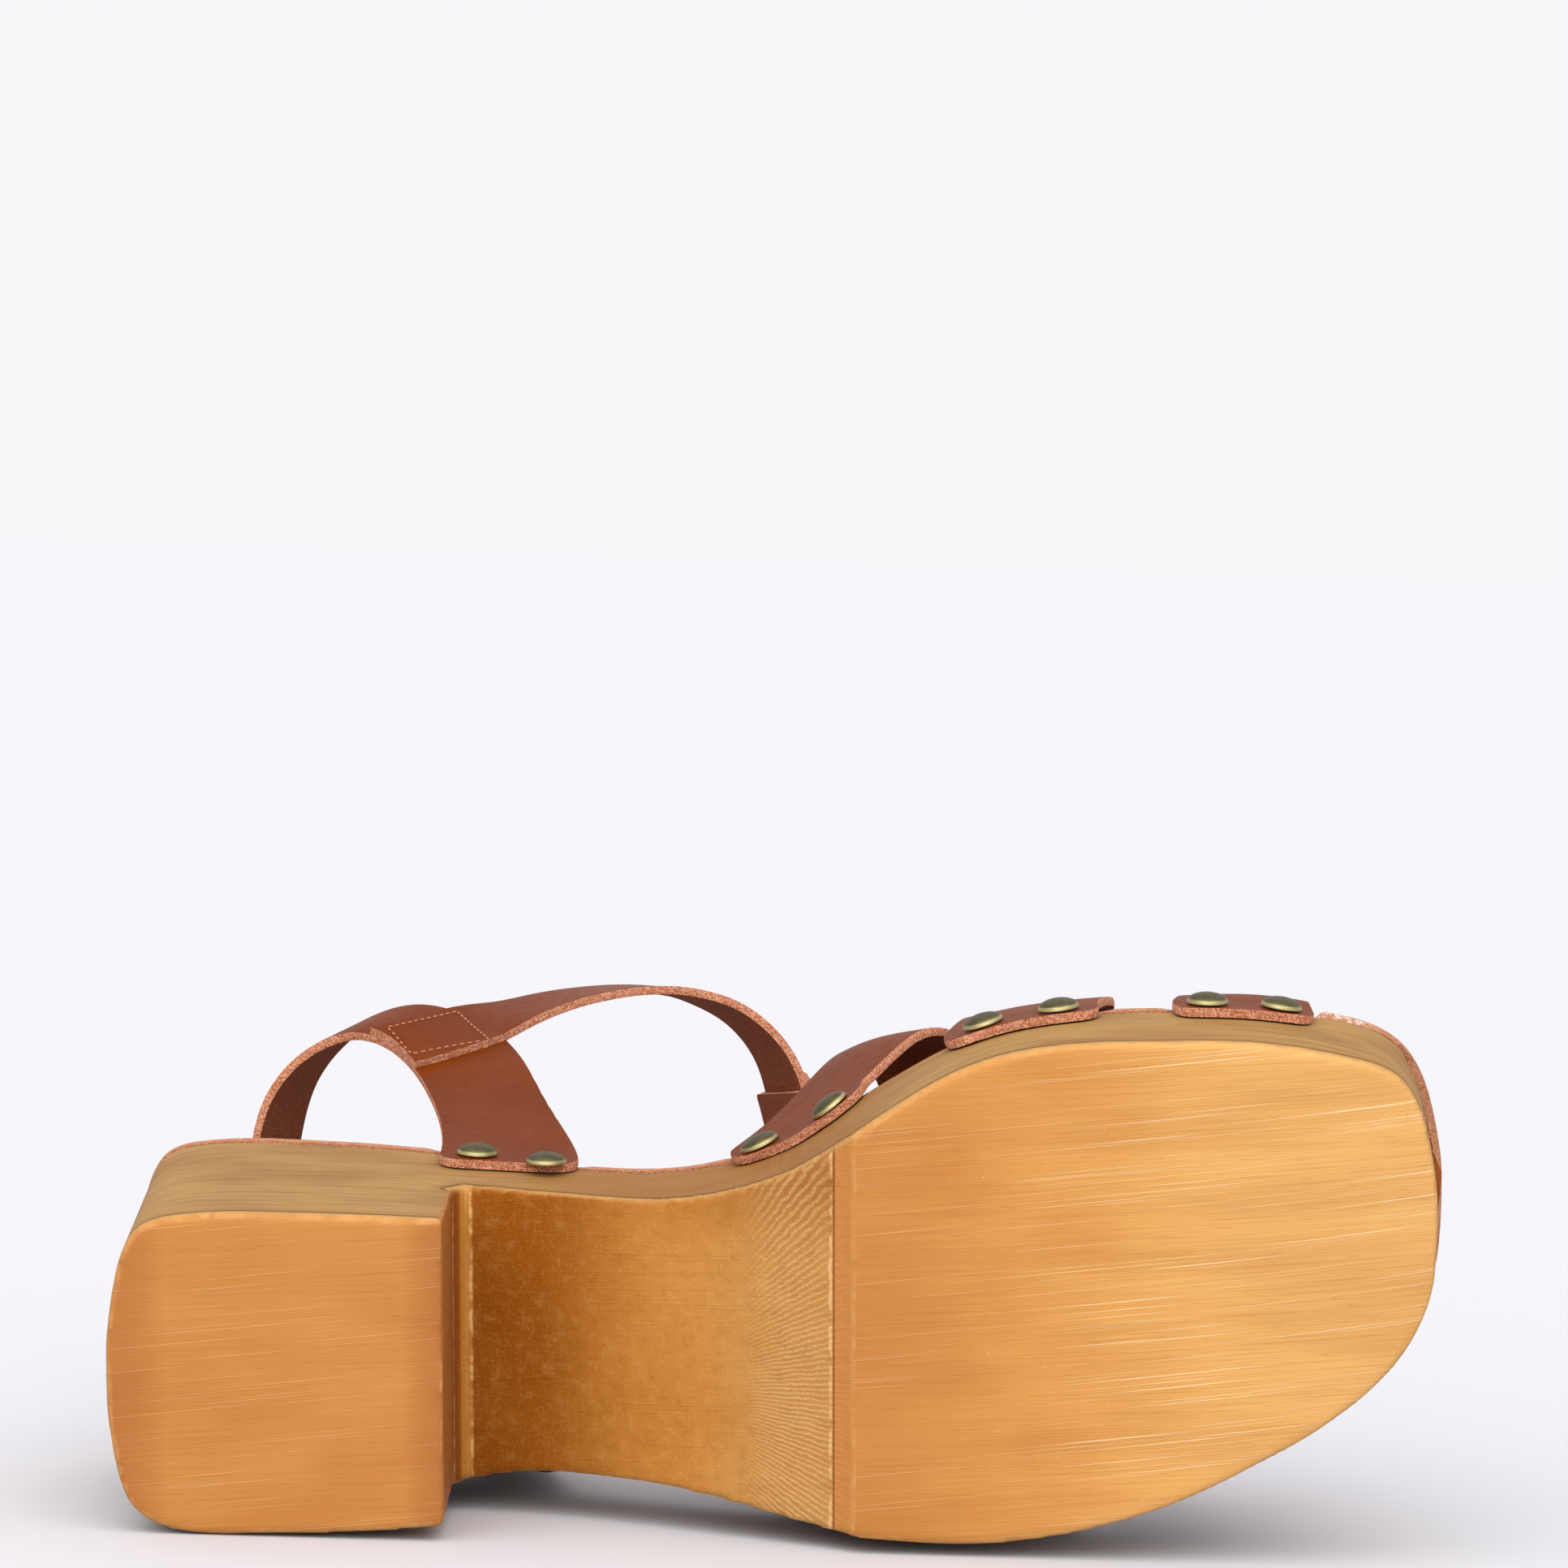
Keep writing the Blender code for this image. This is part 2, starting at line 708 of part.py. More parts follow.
def ankle_surface(back, back_normals):
    """The middle surface of the ankle strap, from its inner patch over the instep to its outer patch."""
    outside = back + back_normals * (LEATHER - STITCHED_IN)
    inner_patch = patch_surface(outside, mirror=False)
    outer_patch = patch_surface(outside, mirror=True)[::-1]
    free = rail_rows(ANKLE_STRAP)
    rails_in = np.concatenate([inner_patch[:, 0], inner_patch[:, -1]], axis=1)
    rails_out = np.concatenate([outer_patch[:, 0], outer_patch[:, -1]], axis=1)
    rails = np.concatenate([rails_in[-2:], free, mirrored(free)[1:], rails_out[:2]])
    dense = dense_rows(rails, 2)[2:-2]
    middle = between_rails(dense)
    fade = eased(1.0 - np.arange(len(dense)) / 6.0)[:, None, None]
    middle = middle + fade * (inner_patch[-1] - between_rails(rails_in)[-1])
    middle = middle + fade[::-1] * (outer_patch[0] - between_rails(rails_out)[0])
    return np.concatenate([inner_patch[:-1], middle, outer_patch[1:]])


def make_ankle_straps(material):
    """The back strap with the ankle strap stitched to it on both sides of the heel."""
    back = held_to_wood(between_rails(dense_rows(back_strap_rows(), ROW_STEPS)))
    back_normals = surface_normals(back)
    ankle = ankle_surface(back, back_normals)
    thin_rows = [row for row in range(len(back)) if row % 2 == 0 or row == len(back) - 1]
    piece = joined(
        "ankle_straps",
        leather_wall(back[thin_rows], back_normals[thin_rows]),
        [leather_wall(ankle, surface_normals(ankle))],
        material,
    )
    return piece, ankle


def ankle_place(row):
    """The grid row of the ankle strap at a fractional row of its table, counted on past the instep."""
    return PATCH_STEPS - 1 + (row + 1) * 2


def strap_frame(surface, row):
    """Middle, direction, across and outward normal of a strap at a fractional row."""
    ahead, behind = surface_at(surface, row + 0.5, 0.5), surface_at(surface, row - 0.5, 0.5)
    low, high = surface_at(surface, row, 0.0), surface_at(surface, row, 1.0)
    along, across = unit(ahead - behind), unit(high - low)
    normal = unit(np.cross(along, across))
    return (low + high) / 2, along, unit(np.cross(normal, along)), normal, np.linalg.norm(high - low)


def rows_of_length(surface, centre, length, count):
    """Fractional rows spread evenly over a length of strap about a centre row."""
    step = 0.25
    near = surface_at(surface, centre - step, 0.5)
    far = surface_at(surface, centre + step, 0.5)
    per_row = np.linalg.norm(far - near) / (2 * step)
    return centre + np.linspace(-0.5, 0.5, count) * length / per_row


def make_strap_tip(ankle, material):
    """The strap's free end, through the buckle and on over the strap to the keeper, with a rounded point."""
    start, end = ankle_place(BUCKLE_ROW), ankle_place(KEEPER_ROW)
    above = ankle - surface_normals(ankle) * (LEATHER + GAP)
    reach = rows_of_length(ankle, end, KEEPER_LENGTH + TIP_LENGTH / 3, 2)[0]
    rows = []
    for share in np.linspace(0.0, 1.0, 14):
        place = start + (reach - start) * share
        left = (1.0 - share) * TIP_LENGTH
        narrow = 0.90 * math.sqrt(max(1.0 - (1.0 - min(left / (TIP_LENGTH / 4), 1.0)) ** 2, 0.02))
        rows.append([surface_at(above, place, 0.5 + column * narrow / 2) for column in ACROSS])
    surface = np.array(rows)
    points, faces = leather_wall(surface, surface_normals(surface))
    return new_object("strap_tip", mesh_from("strap_tip", points, faces), material)


def make_keeper(ankle, material):
    """A leather loop round the ankle strap and its tip."""
    rows = []
    for row in rows_of_length(ankle, ankle_place(KEEPER_ROW), KEEPER_LENGTH, 4):
        middle, _, across, normal, width = strap_frame(ankle, row)
        inside_low, inside_high = -LEATHER / 2 - GAP, LEATHER * 1.5 + 2 * GAP
        ring = []
        for wall in (0.0, KEEPER_WALL):
            side = width / 2 + GAP * 2 + wall
            low, high = inside_low - wall, inside_high + wall
            for out, up in ((-side, low), (side, low), (side, high), (-side, high)):
                ring.append(middle + across * out + normal * up)
        rows.append(ring)
    points = np.array(rows).reshape(-1, 3)
    faces = []
    last = (len(rows) - 1) * 8
    for corner in range(4):
        after = (corner + 1) % 4
        for row in range(len(rows) - 1):
            base, ahead = row * 8, (row + 1) * 8
            faces.append((base + 4 + corner, base + 4 + after, ahead + 4 + after, ahead + 4 + corner))
            faces.append((base + corner, ahead + corner, ahead + after, base + after))
        faces.append((corner, after, 4 + after, 4 + corner))
        faces.append((last + corner, last + 4 + corner, last + 4 + after, last + after))
    return new_object("keeper", mesh_from("keeper", points, faces), material)


def wire(name, points, plane, radius, closed, material):
    """Round wire along a line of points, with one direction that it never runs in."""
    points = np.array(points)
    sides = 8
    count = len(points)
    ahead = np.roll(points, -1, axis=0) - np.roll(points, 1, axis=0)
    if not closed:
        ahead = np.gradient(points, axis=0)
    along = unit(ahead)
    rings = []
    for point, direction in zip(points, along):
        beside = unit(np.cross(direction, plane))
        turns = [2 * math.pi * side / sides for side in range(sides)]
        rings += [point + radius * (math.cos(t) * beside + math.sin(t) * plane) for t in turns]
    faces = []
    for i in range(count if closed else count - 1):
        for side in range(sides):
            after = (side + 1) % sides
            base, far = i * sides, ((i + 1) % count) * sides
            faces.append((base + side, base + after, far + after, far + side))
    if not closed:
        faces.append(tuple(range(sides)))
        faces.append(tuple(range(count * sides - 1, (count - 1) * sides - 1, -1)))
    return new_object(name, mesh_from(name, np.array(rings), faces), material)


def make_buckle(ankle, material):
    """A rectangular wire frame over the strap, and its prong from bar to bar."""
    middle, along, across, normal, width = strap_frame(ankle, ankle_place(BUCKLE_ROW))
    radius = BUCKLE_WIRE / 2
    lift = LEATHER * 1.5 + 2 * GAP + radius
    half_across = width / 2 + radius + 2 * GAP
    half_along = BUCKLE_LENGTH / 2
    bend = BUCKLE_WIRE
    outline = []
    for corner in range(4):
        turn = math.pi / 2 * corner
        centre_along = (half_along - bend) * (1 if corner in (0, 3) else -1)
        centre_across = (half_across - bend) * (1 if corner in (0, 1) else -1)
        for share in (0.0, 0.5, 1.0):
            angle = turn + share * math.pi / 2
            outline.append((centre_along + bend * math.cos(angle), centre_across + bend * math.sin(angle)))
    ring = [middle + along * a + across * c + normal * lift for a, c in outline]
    frame = wire("buckle_frame", ring, normal, radius, True, material)
    thin = 0.7 * radius
    clear = radius + thin + GAP
    prong_line = []
    for share in (-1.0, 0.0, 1.0):
        reach = along * (half_along + radius) * share
        prong_line.append(middle + reach + normal * (lift + clear))
    prong = wire("buckle_prong", prong_line, normal, thin, False, material)
    return frame, prong


def stud_mesh(material):
    """A domed nail head, its flat back at Z 0."""
    radius = STUD_DIAMETER / 2
    profile = [(radius, 0.0), (radius, 0.12 * STUD_HEIGHT)]
    for step in range(1, 5):
        angle = step / 5 * math.pi / 2
        profile.append((radius * math.cos(angle), STUD_HEIGHT * (0.12 + 0.88 * math.sin(angle))))
    sides = 16
    points = []
    for out, up in profile:
        for side in range(sides):
            angle = 2 * math.pi * side / sides
            points.append((out * math.cos(angle), out * math.sin(angle), up))
    faces = [tuple(range(sides - 1, -1, -1))]
    for level in range(len(profile) - 1):
        for side in range(sides):
            after = (side + 1) % sides
            base, high = level * sides, (level + 1) * sides
            faces.append((base + side, base + after, high + after, high + side))
    points.append((0.0, 0.0, STUD_HEIGHT))
    base = (len(profile) - 1) * sides
    faces += [(base + side, base + (side + 1) % sides, len(points) - 1) for side in range(sides)]
    mesh = mesh_from("stud", points, faces)
    mesh.materials.append(material)
    mesh.shade_smooth()
    mesh.set_sharp_from_angle(angle=math.radians(40))
    return mesh


def make_studs(material):
    """Two nails through each strap end, side by side, with their backs just off the leather."""
    mesh = stud_mesh(material)
    off = GAP + LEATHER + GAP
    ends = {
        "rear": (REAR_STRAP[0][1], REAR_STRAP[-1][1], NAIL_DROP),
        "middle": (MIDDLE_STRAP[0][1], MIDDLE_STRAP[-1][1], NAIL_DROP),
        "toe": (TOE_STRAP[0][1], TOE_STRAP[-1][1], NAIL_DROP),
        "back": (BACK_STUDS, BACK_STUDS, BACK_NAIL_DROP),
    }
    studs = []
    for strap, (inner, outer, drop) in ends.items():
        for side, share in (("inner", inner), ("outer", outer)):
            for number, shift in enumerate((-STUD_SPACING / 2, STUD_SPACING / 2), 1):
                x = share * SOLE_LENGTH + shift
                z = float(footbed_height(x)) - drop
                seat = wall_point(side, x, z, off)
                out = unit(seat - wall_point(side, x, z, 0.0))
                stud = bpy.data.objects.new(f"stud_{strap}_{side}_{number}", mesh)
                bpy.context.scene.collection.objects.link(stud)
                stud.location = seat
                stud.rotation_mode = "QUATERNION"
                stud.rotation_quaternion = Vector(out).to_track_quat("Z", "Y")
                studs.append(stud)
    return studs


def solid_points(pieces):
    """The corners of all pieces as they stand, and the centre of their mass."""
    bpy.context.view_layer.update()
    graph = bpy.context.evaluated_depsgraph_get()
    corners, total, weighted = [], 0.0, Vector()
    for piece in pieces:
        shape = bmesh.new()
        shape.from_object(piece, graph)
        shape.transform(piece.matrix_world)
        bmesh.ops.triangulate(shape, faces=shape.faces)
        corners += [vertex.co.copy() for vertex in shape.verts]
        density = 1.0 if piece.name == "wooden_sole" else LEATHER_TO_WOOD_DENSITY
        for face in shape.faces:
            a, b, c = (vertex.co for vertex in face.verts)
            volume = density * a.dot(b.cross(c)) / 6
            total += volume
            weighted += volume * (a + b + c) / 4
        shape.free()
    return corners, weighted / total


def resting_normal(corners, centre):
    """The way down, in the standing shoe's directions, when it lies still on its outer side."""
    hull = bmesh.new()
    for corner in corners:
        hull.verts.new(corner)
    bmesh.ops.convex_hull(hull, input=hull.verts)
    best = None
    for face in hull.faces:
        if len(face.verts) != 3:
            continue
        a, b, c = (vertex.co for vertex in face.verts)
        normal = (b - a).cross(c - a).normalized()
        if normal.dot(a - centre) < 0:
            normal = -normal
        below = centre + normal * normal.dot(a - centre)
        turns = [(q - p).cross(below - p).dot(normal) for p, q in ((a, b), (b, c), (c, a))]
        inside = all(turn >= 0 for turn in turns) or all(turn <= 0 for turn in turns)
        if inside and (best is None or normal.y > best.y):
            best = normal
    hull.free()
    return best


def lay_down(pieces):
    """Turns the whole shoe on to its outer side, toe along +X, and centres its foot on the origin."""
    corners, centre = solid_points(pieces)
    down = resting_normal(corners, centre)
    toe = (Vector((1.0, 0.0, 0.0)) - down * down.x).normalized()
    away = (-down).cross(toe)
    turn = Matrix((toe, away, -down)).to_4x4()
    laid = np.array([turn @ corner for corner in corners])
    low, high = laid.min(axis=0), laid.max(axis=0)
    shift = Vector((-(low[0] + high[0]) / 2, -(low[1] + high[1]) / 2, -low[2]))
    lying = bpy.data.objects.new("lying", None)
    bpy.context.scene.collection.objects.link(lying)
    lying.matrix_world = Matrix.Translation(shift) @ turn
    for thing in bpy.context.scene.collection.objects:
        if thing.type == "MESH":
            thing.parent = lying
    bpy.context.view_layer.update()


for leftover in list(bpy.data.objects):
    bpy.data.objects.remove(leftover)

wood = finish("stained_wood", (0.50, 0.27, 0.09), 0.45)
lining = finish("insole_leather", (0.55, 0.22, 0.12), 0.60)
strap_leather = finish("strap_leather", (0.33, 0.09, 0.035), 0.42)
brass = finish("antique_brass", (0.42, 0.36, 0.20), 0.30, 1.0)

ankle_straps, ankle_middle = make_ankle_straps(strap_leather)
all_pieces = [
    make_sole(wood),
    make_insole(lining),
    make_front_straps(strap_leather),
    make_toe_strap(strap_leather),
    ankle_straps,
    make_strap_tip(ankle_middle, strap_leather),
    make_keeper(ankle_middle, strap_leather),
    *make_buckle(ankle_middle, brass),
    *make_studs(brass),
]
lay_down(all_pieces)
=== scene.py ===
import json
import math

import bpy
import numpy as np
from mathutils import Matrix, Vector, kdtree
from mathutils.bvhtree import BVHTree


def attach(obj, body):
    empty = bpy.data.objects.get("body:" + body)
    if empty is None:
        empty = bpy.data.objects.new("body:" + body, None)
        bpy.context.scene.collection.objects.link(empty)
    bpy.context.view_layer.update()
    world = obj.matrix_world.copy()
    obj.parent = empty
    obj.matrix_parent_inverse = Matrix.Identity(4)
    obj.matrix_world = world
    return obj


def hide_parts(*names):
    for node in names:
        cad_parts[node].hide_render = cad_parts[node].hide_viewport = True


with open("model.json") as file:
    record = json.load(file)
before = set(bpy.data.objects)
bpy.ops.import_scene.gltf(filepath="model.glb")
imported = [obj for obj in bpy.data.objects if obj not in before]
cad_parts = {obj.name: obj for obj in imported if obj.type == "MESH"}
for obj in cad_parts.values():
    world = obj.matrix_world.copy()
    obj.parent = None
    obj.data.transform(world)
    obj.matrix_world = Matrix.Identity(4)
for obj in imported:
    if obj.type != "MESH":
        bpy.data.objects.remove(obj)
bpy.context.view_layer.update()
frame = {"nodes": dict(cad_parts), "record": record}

# The shoe as it stands
# The shoe lies on its outer side, but its wood is carved and grained along its own length.
# The heel's resting face gives that standing frame: x from the heel's back to the toe, y to the
# outer side and z up. The middle of that face is 30 mm from the back.
HEEL_MIDDLE = 0.030
heel_rest = next(mount for mount in frame["record"]["mounts"] if mount["name"] == "heel_bottom")
height_axis = -Vector(heel_rest["axis"])
length_axis = Vector((0, 1, 0)).cross(height_axis).normalized()
width_axis = height_axis.cross(length_axis)
standing = Matrix((length_axis, width_axis, height_axis)).transposed().to_4x4()
standing.translation = Vector(heel_rest["pos_m"]) - HEEL_MIDDLE * length_axis
to_standing = standing.inverted()
standing_turn = np.array(to_standing.to_3x3())
standing_shift = np.array(to_standing.translation)

# The camera
# It looks at the walking face from a metre away, tilted a little so that the inner wall shows.
VIEW_TILT = math.radians(7.2)
VIEW_CENTRE = Vector((0.126, -0.111, 0.0))
VIEW_DISTANCE = 1.0
SENSOR_WIDTH = 36.0
LENS_LENGTH = 124.8
NEAREST = 0.01
FARTHEST = 200.0
view_direction = Vector((0, math.sin(VIEW_TILT), math.cos(VIEW_TILT)))
view_up = Vector((0, -math.cos(VIEW_TILT), math.sin(VIEW_TILT)))
camera_turn = Matrix((Vector((1, 0, 0)), view_up, -view_direction)).transposed().to_4x4()
camera_place = Matrix.Translation(VIEW_CENTRE - VIEW_DISTANCE * view_direction)
lens = bpy.data.cameras.new("photo_lens")
lens.sensor_width = SENSOR_WIDTH
lens.lens = LENS_LENGTH
lens.clip_start = NEAREST
lens.clip_end = FARTHEST
camera = bpy.data.objects.new("photo_camera", lens)
camera.matrix_world = standing @ camera_place @ camera_turn
bpy.context.scene.collection.objects.link(camera)
bpy.context.scene.camera = camera

# The studio
# A pale floor under an even pale surround, with one broad lamp in front and a weak one overhead.
# The floor's own tone is set so that it meets the surround without a visible horizon.
SURROUND = "F7F6F9"
FLOOR = "C4C3C6"
FLOOR_WIDTH = 60.0


def colour(hex_code):
    """Turns an sRGB hex colour into Blender's linear one."""
    shares = [int(hex_code[i : i + 2], 16) / 255 for i in (0, 2, 4)]
    return (*[s / 12.92 if s <= 0.04045 else ((s + 0.055) / 1.055) ** 2.4 for s in shares], 1.0)


def add(tree, kind, inputs=(), out=0, **settings):
    """Adds a node with its settings, fills or links its inputs and gives one of its outputs.

    The inputs are named, or are given in the node's own order.
    """
    node = tree.nodes.new("ShaderNode" + kind)
    for name, value in settings.items():
        setattr(node, name, value)
    for name, value in inputs.items() if isinstance(inputs, dict) else enumerate(inputs):
        if isinstance(value, bpy.types.NodeSocket):
            tree.links.new(value, node.inputs[name])
        else:
            node.inputs[name].default_value = value
    return node.outputs[out] if node.outputs else None


def new_material(name):
    """Starts a material with only its output, and returns it with its node tree."""
    material = bpy.data.materials.new(name)
    material.use_nodes = True
    material.node_tree.nodes.clear()
    return material, material.node_tree


surround = bpy.data.worlds.new("studio_surround")
surround.use_nodes = True
surround.node_tree.nodes["Background"].inputs["Color"].default_value = colour(SURROUND)
surround.node_tree.nodes["Background"].inputs["Strength"].default_value = 1.0
bpy.context.scene.world = surround
bpy.context.scene.view_settings.view_transform = "Standard"

bpy.ops.object.select_all(action="DESELECT")
bpy.ops.mesh.primitive_plane_add(size=FLOOR_WIDTH)
floor = bpy.context.object
floor.name = "studio_floor"
# Matt white vinyl: no gloss shows at this low angle.
vinyl, tree = new_material("matt_white_vinyl")
matt = add(tree, "BsdfDiffuse", {"Color": colour(FLOOR)})
add(tree, "OutputMaterial", {"Surface": matt})
floor.data.materials.append(vinyl)

# Each lamp has its strength, and its spread, its rise and its swing round the shoe in degrees.
for name, strength, spread, rise, swing in (
    ("front_lamp", 2.75, 80, 50, -5),
    ("overhead_lamp", 0.30, 80, 70, 150),
):
    lamp = bpy.data.lights.new(name, "SUN")
    lamp.energy = strength
    lamp.angle = math.radians(spread)
    lamp_object = bpy.data.objects.new(name, lamp)
    lamp_object.rotation_euler = (math.radians(90 - rise), 0, math.radians(swing))
    bpy.context.scene.collection.objects.link(lamp_object)

# The wooden sole
# One block of pale hardwood: the outline is bandsawn, the waist is milled hollow underneath,
# and the whole is sanded, stained honey brown and lightly brushed, with the side walls left matt.
WOOD_GRID = 0.0010
BREAST = 0.0623
FOREFOOT = 0.1389
WELD_GAP = 0.00001
CREASED = 0.5
CORNER_PITCH = 0.0008


def copy_of(node, name, corner=35, crease=1.0):
    """Copies a CAD node's mesh, welds its triangles into faces and creases its corners."""
    mesh = frame["nodes"][node].data.copy()
    mesh.materials.clear()
    piece = bpy.data.objects.new(name, mesh)
    bpy.context.scene.collection.objects.link(piece)
    bpy.ops.object.select_all(action="DESELECT")
    piece.select_set(True)
    bpy.context.view_layer.objects.active = piece
    if mesh.has_custom_normals:
        bpy.ops.mesh.customdata_custom_splitnormals_clear()
    bpy.ops.object.mode_set(mode="EDIT")
    bpy.ops.mesh.select_mode(type="EDGE")
    bpy.ops.mesh.select_all(action="SELECT")
    bpy.ops.mesh.remove_doubles(threshold=WELD_GAP)
    bpy.ops.mesh.tris_convert_to_quads(face_threshold=math.radians(20), shape_threshold=math.radians(50))
    bpy.ops.mesh.select_all(action="DESELECT")
    bpy.ops.mesh.edges_select_sharp(sharpness=math.radians(corner))
    bpy.ops.transform.edge_crease(value=crease)
    bpy.ops.mesh.select_all(action="DESELECT")
    bpy.ops.object.mode_set(mode="OBJECT")
    return piece


def work(piece, kind, **settings):
    """Adds a modifier to a piece and applies it."""
    modifier = piece.modifiers.new(kind.lower(), kind)
    for name, value in settings.items():
        setattr(modifier, name, value)
    bpy.context.view_layer.objects.active = piece
    bpy.ops.object.modifier_apply(modifier=modifier.name)


def points_of(piece):
    """Gives a piece's points as an array."""
    flat = np.empty(len(piece.data.vertices) * 3)
    piece.data.vertices.foreach_get("co", flat)
    return flat.reshape(-1, 3)


def normals_of(piece):
    """Gives the outward direction at each of a piece's points."""
    flat = np.empty(len(piece.data.vertices) * 3, dtype=np.float32)
    piece.data.vertex_normals.foreach_get("vector", flat)
    return flat.reshape(-1, 3).astype(float)


def put_points(piece, points):
    """Moves a piece's points."""
    piece.data.vertices.foreach_set("co", points.ravel())
    piece.data.update()


def mark(piece, name, values):
    """Keeps a number for each point, which the material reads."""
    attribute = piece.data.attributes.new(name, "FLOAT", "POINT")
    attribute.data.foreach_set("value", np.asarray(values, dtype=np.float32))


def eased(value, start, end):
    """Goes smoothly from 0 at start to 1 at end."""
    share = np.clip((value - start) / (end - start), 0, 1)
    return share * share * (3 - 2 * share)


def smooth_shaded(piece):
    """Shades a piece smooth all over."""
    piece.data.polygons.foreach_set("use_smooth", np.ones(len(piece.data.polygons), dtype=bool))
    piece.data.update()


def corner_distance(piece, points, chosen=None):
    """Gives each point's distance to the nearest creased corner line of a piece."""
    crease = piece.data.attributes["crease_edge"]
    spots = []
    for edge in piece.data.edges:
        if crease.data[edge.index].value > CREASED and (chosen is None or edge.key in chosen):
            a, b = (piece.data.vertices[i].co for i in edge.vertices)
            steps = max(1, int((b - a).length / CORNER_PITCH))
            spots += [a.lerp(b, i / steps) for i in range(steps + 1)]
    tree = kdtree.KDTree(len(spots))
    for i, spot in enumerate(spots):
        tree.insert(spot, i)
    tree.balance()
    return np.array([tree.find(p)[2] for p in points])


# The block is remeshed finely and smoothed, but within a millimetre of a corner it stays sharp.
# It blends from sharp to smooth in ten steps.
SHARP_WITHIN = 0.0008
SMOOTH_BEYOND = 0.0040
SMOOTH_STEPS = 10
sole = copy_of("wooden_sole", "carved_sole")
corners = sole.copy()
corners.data = sole.data.copy()
bpy.context.scene.collection.objects.link(corners)
work(sole, "SUBSURF", levels=1, render_levels=1)
work(corners, "SUBSURF", levels=1, render_levels=1)
work(sole, "REMESH", mode="VOXEL", voxel_size=WOOD_GRID)
away = eased(corner_distance(corners, points_of(sole)), SHARP_WITHIN, SMOOTH_BEYOND)
faces_only = sole.vertex_groups.new(name="faces_only")
for step in range(1, SMOOTH_STEPS + 1):
    chosen = np.nonzero((away > (step - 1) / SMOOTH_STEPS) & (away <= step / SMOOTH_STEPS))[0]
    faces_only.add([int(i) for i in chosen], step / SMOOTH_STEPS, "REPLACE")
work(sole, "SMOOTH", factor=0.5, iterations=2)
work(sole, "SMOOTH", factor=0.5, iterations=24, vertex_group="faces_only")
sole.vertex_groups.clear()

# The lower corners are those beside a face that looks down.
DOWNWARDS = -0.45
sole_points = points_of(sole)
stood = sole_points @ standing_turn.T + standing_shift
facing = normals_of(sole) @ standing_turn.T
lower_corners = set()
for face in corners.data.polygons:
    if (standing_turn @ np.array(face.normal))[2] < DOWNWARDS:
        lower_corners.update(face.edge_keys)
corner_gaps = corner_distance(corners, sole_points, lower_corners)
bpy.data.objects.remove(corners)

# The sander left the inner toe wall leaning: it is narrower at the walking face, and wider under
# the insole.
LOW_LEAN = 0.0011
HIGH_LEAN = 0.0013
inner_side = eased(-facing[:, 1], 0.2, 0.7)
low_part = 1 - eased(stood[:, 2], 0.004, 0.016)
high_part = eased(stood[:, 2], 0.016, 0.030) * eased(stood[:, 0], 0.223, 0.230)
toe_part = eased(stood[:, 0], 0.150, 0.200) * eased(-stood[:, 0], -0.248, -0.232)
near_edge = eased(-stood[:, 1], 0.020, 0.034)
lean = LOW_LEAN * low_part * toe_part * near_edge - HIGH_LEAN * high_part * inner_side
put_points(sole, sole_points + np.outer(lean, (0, 1, 0)) @ standing_turn)
face_under = eased(-facing[:, 2], 0.45, 0.75)
breast_wall = eased(facing[:, 0], 0.5, 0.8) * (np.abs(stood[:, 0] - BREAST) < 0.005)
mark(sole, "under", np.maximum(face_under, breast_wall))
mark(sole, "edge_gap", corner_gaps)

# Stained and brushed hardwood: long fibres, short dark pores, pale brush marks, and a rough
# orange hollow. Fibres are 0.3 mm wide and pores 5 mm long. Satin, with an IOR near 1.5.
SMOOTH = {"interpolation_type": "SMOOTHSTEP"}
TIMES = {"operation": "MULTIPLY"}
wood, tree = new_material("stained_hardwood")
place = add(tree, "TexCoord", (), "Object")
grain_turn = to_standing.to_euler("XYZ")
grain_shift = to_standing.translation
own = add(tree, "Mapping", {"Vector": place, "Location": grain_shift, "Rotation": grain_turn})
along = add(tree, "SeparateXYZ", (own,), "X")
across = add(tree, "SeparateXYZ", (own,), "Y")
edge_gap = add(tree, "Attribute", (), "Fac", attribute_name="edge_gap")
under = add(tree, "Attribute", (), "Fac", attribute_name="under")

# Each pattern has its cell's length, width and height in metres, its turn in degrees, its detail
# and its roughness.
patterns = {}
for name, cell, degrees, detail, rough in (
    ("figure", (0.0900, 0.0085, 0.0300), 0.0, 3.0, 0.5),
    ("face_fibres", (0.0340, 0.00030, 0.0400), 2.5, 3.0, 0.6),
    ("wall_fibres", (0.0240, 0.0200, 0.0017), 0.0, 3.0, 0.6),
    ("pores", (0.0050, 0.00032, 0.0100), 0.0, 1.0, 0.5),
    ("stain", (0.0300, 0.0220, 0.0220), 0.0, 2.0, 0.5),
    ("strokes", (0.0550, 0.00034, 0.0400), 5.5, 1.0, 0.5),
    ("stroke_patches", (0.0600, 0.0075, 0.0400), 5.5, 1.0, 0.5),
    ("nicks", (0.0013, 0.00030, 0.0100), 0.0, 1.0, 0.5),
    ("dents", (0.0030, 0.0026, 0.0026), 0.0, 2.0, 0.5),
    ("grit", (0.00055, 0.00060, 0.00055), 0.0, 2.0, 0.6),
    ("rasp", (0.00045, 0.0090, 0.0400), 0.0, 2.0, 0.6),
):
    turned = add(tree, "Mapping", {"Vector": own, "Rotation": (0, 0, math.radians(degrees))})
    scaled = add(tree, "Mapping", {"Vector": turned, "Scale": [1 / size for size in cell]})
    inputs = {"Vector": scaled, "Scale": 1.0, "Detail": detail, "Roughness": rough}
    patterns[name] = add(tree, "TexNoise", inputs)


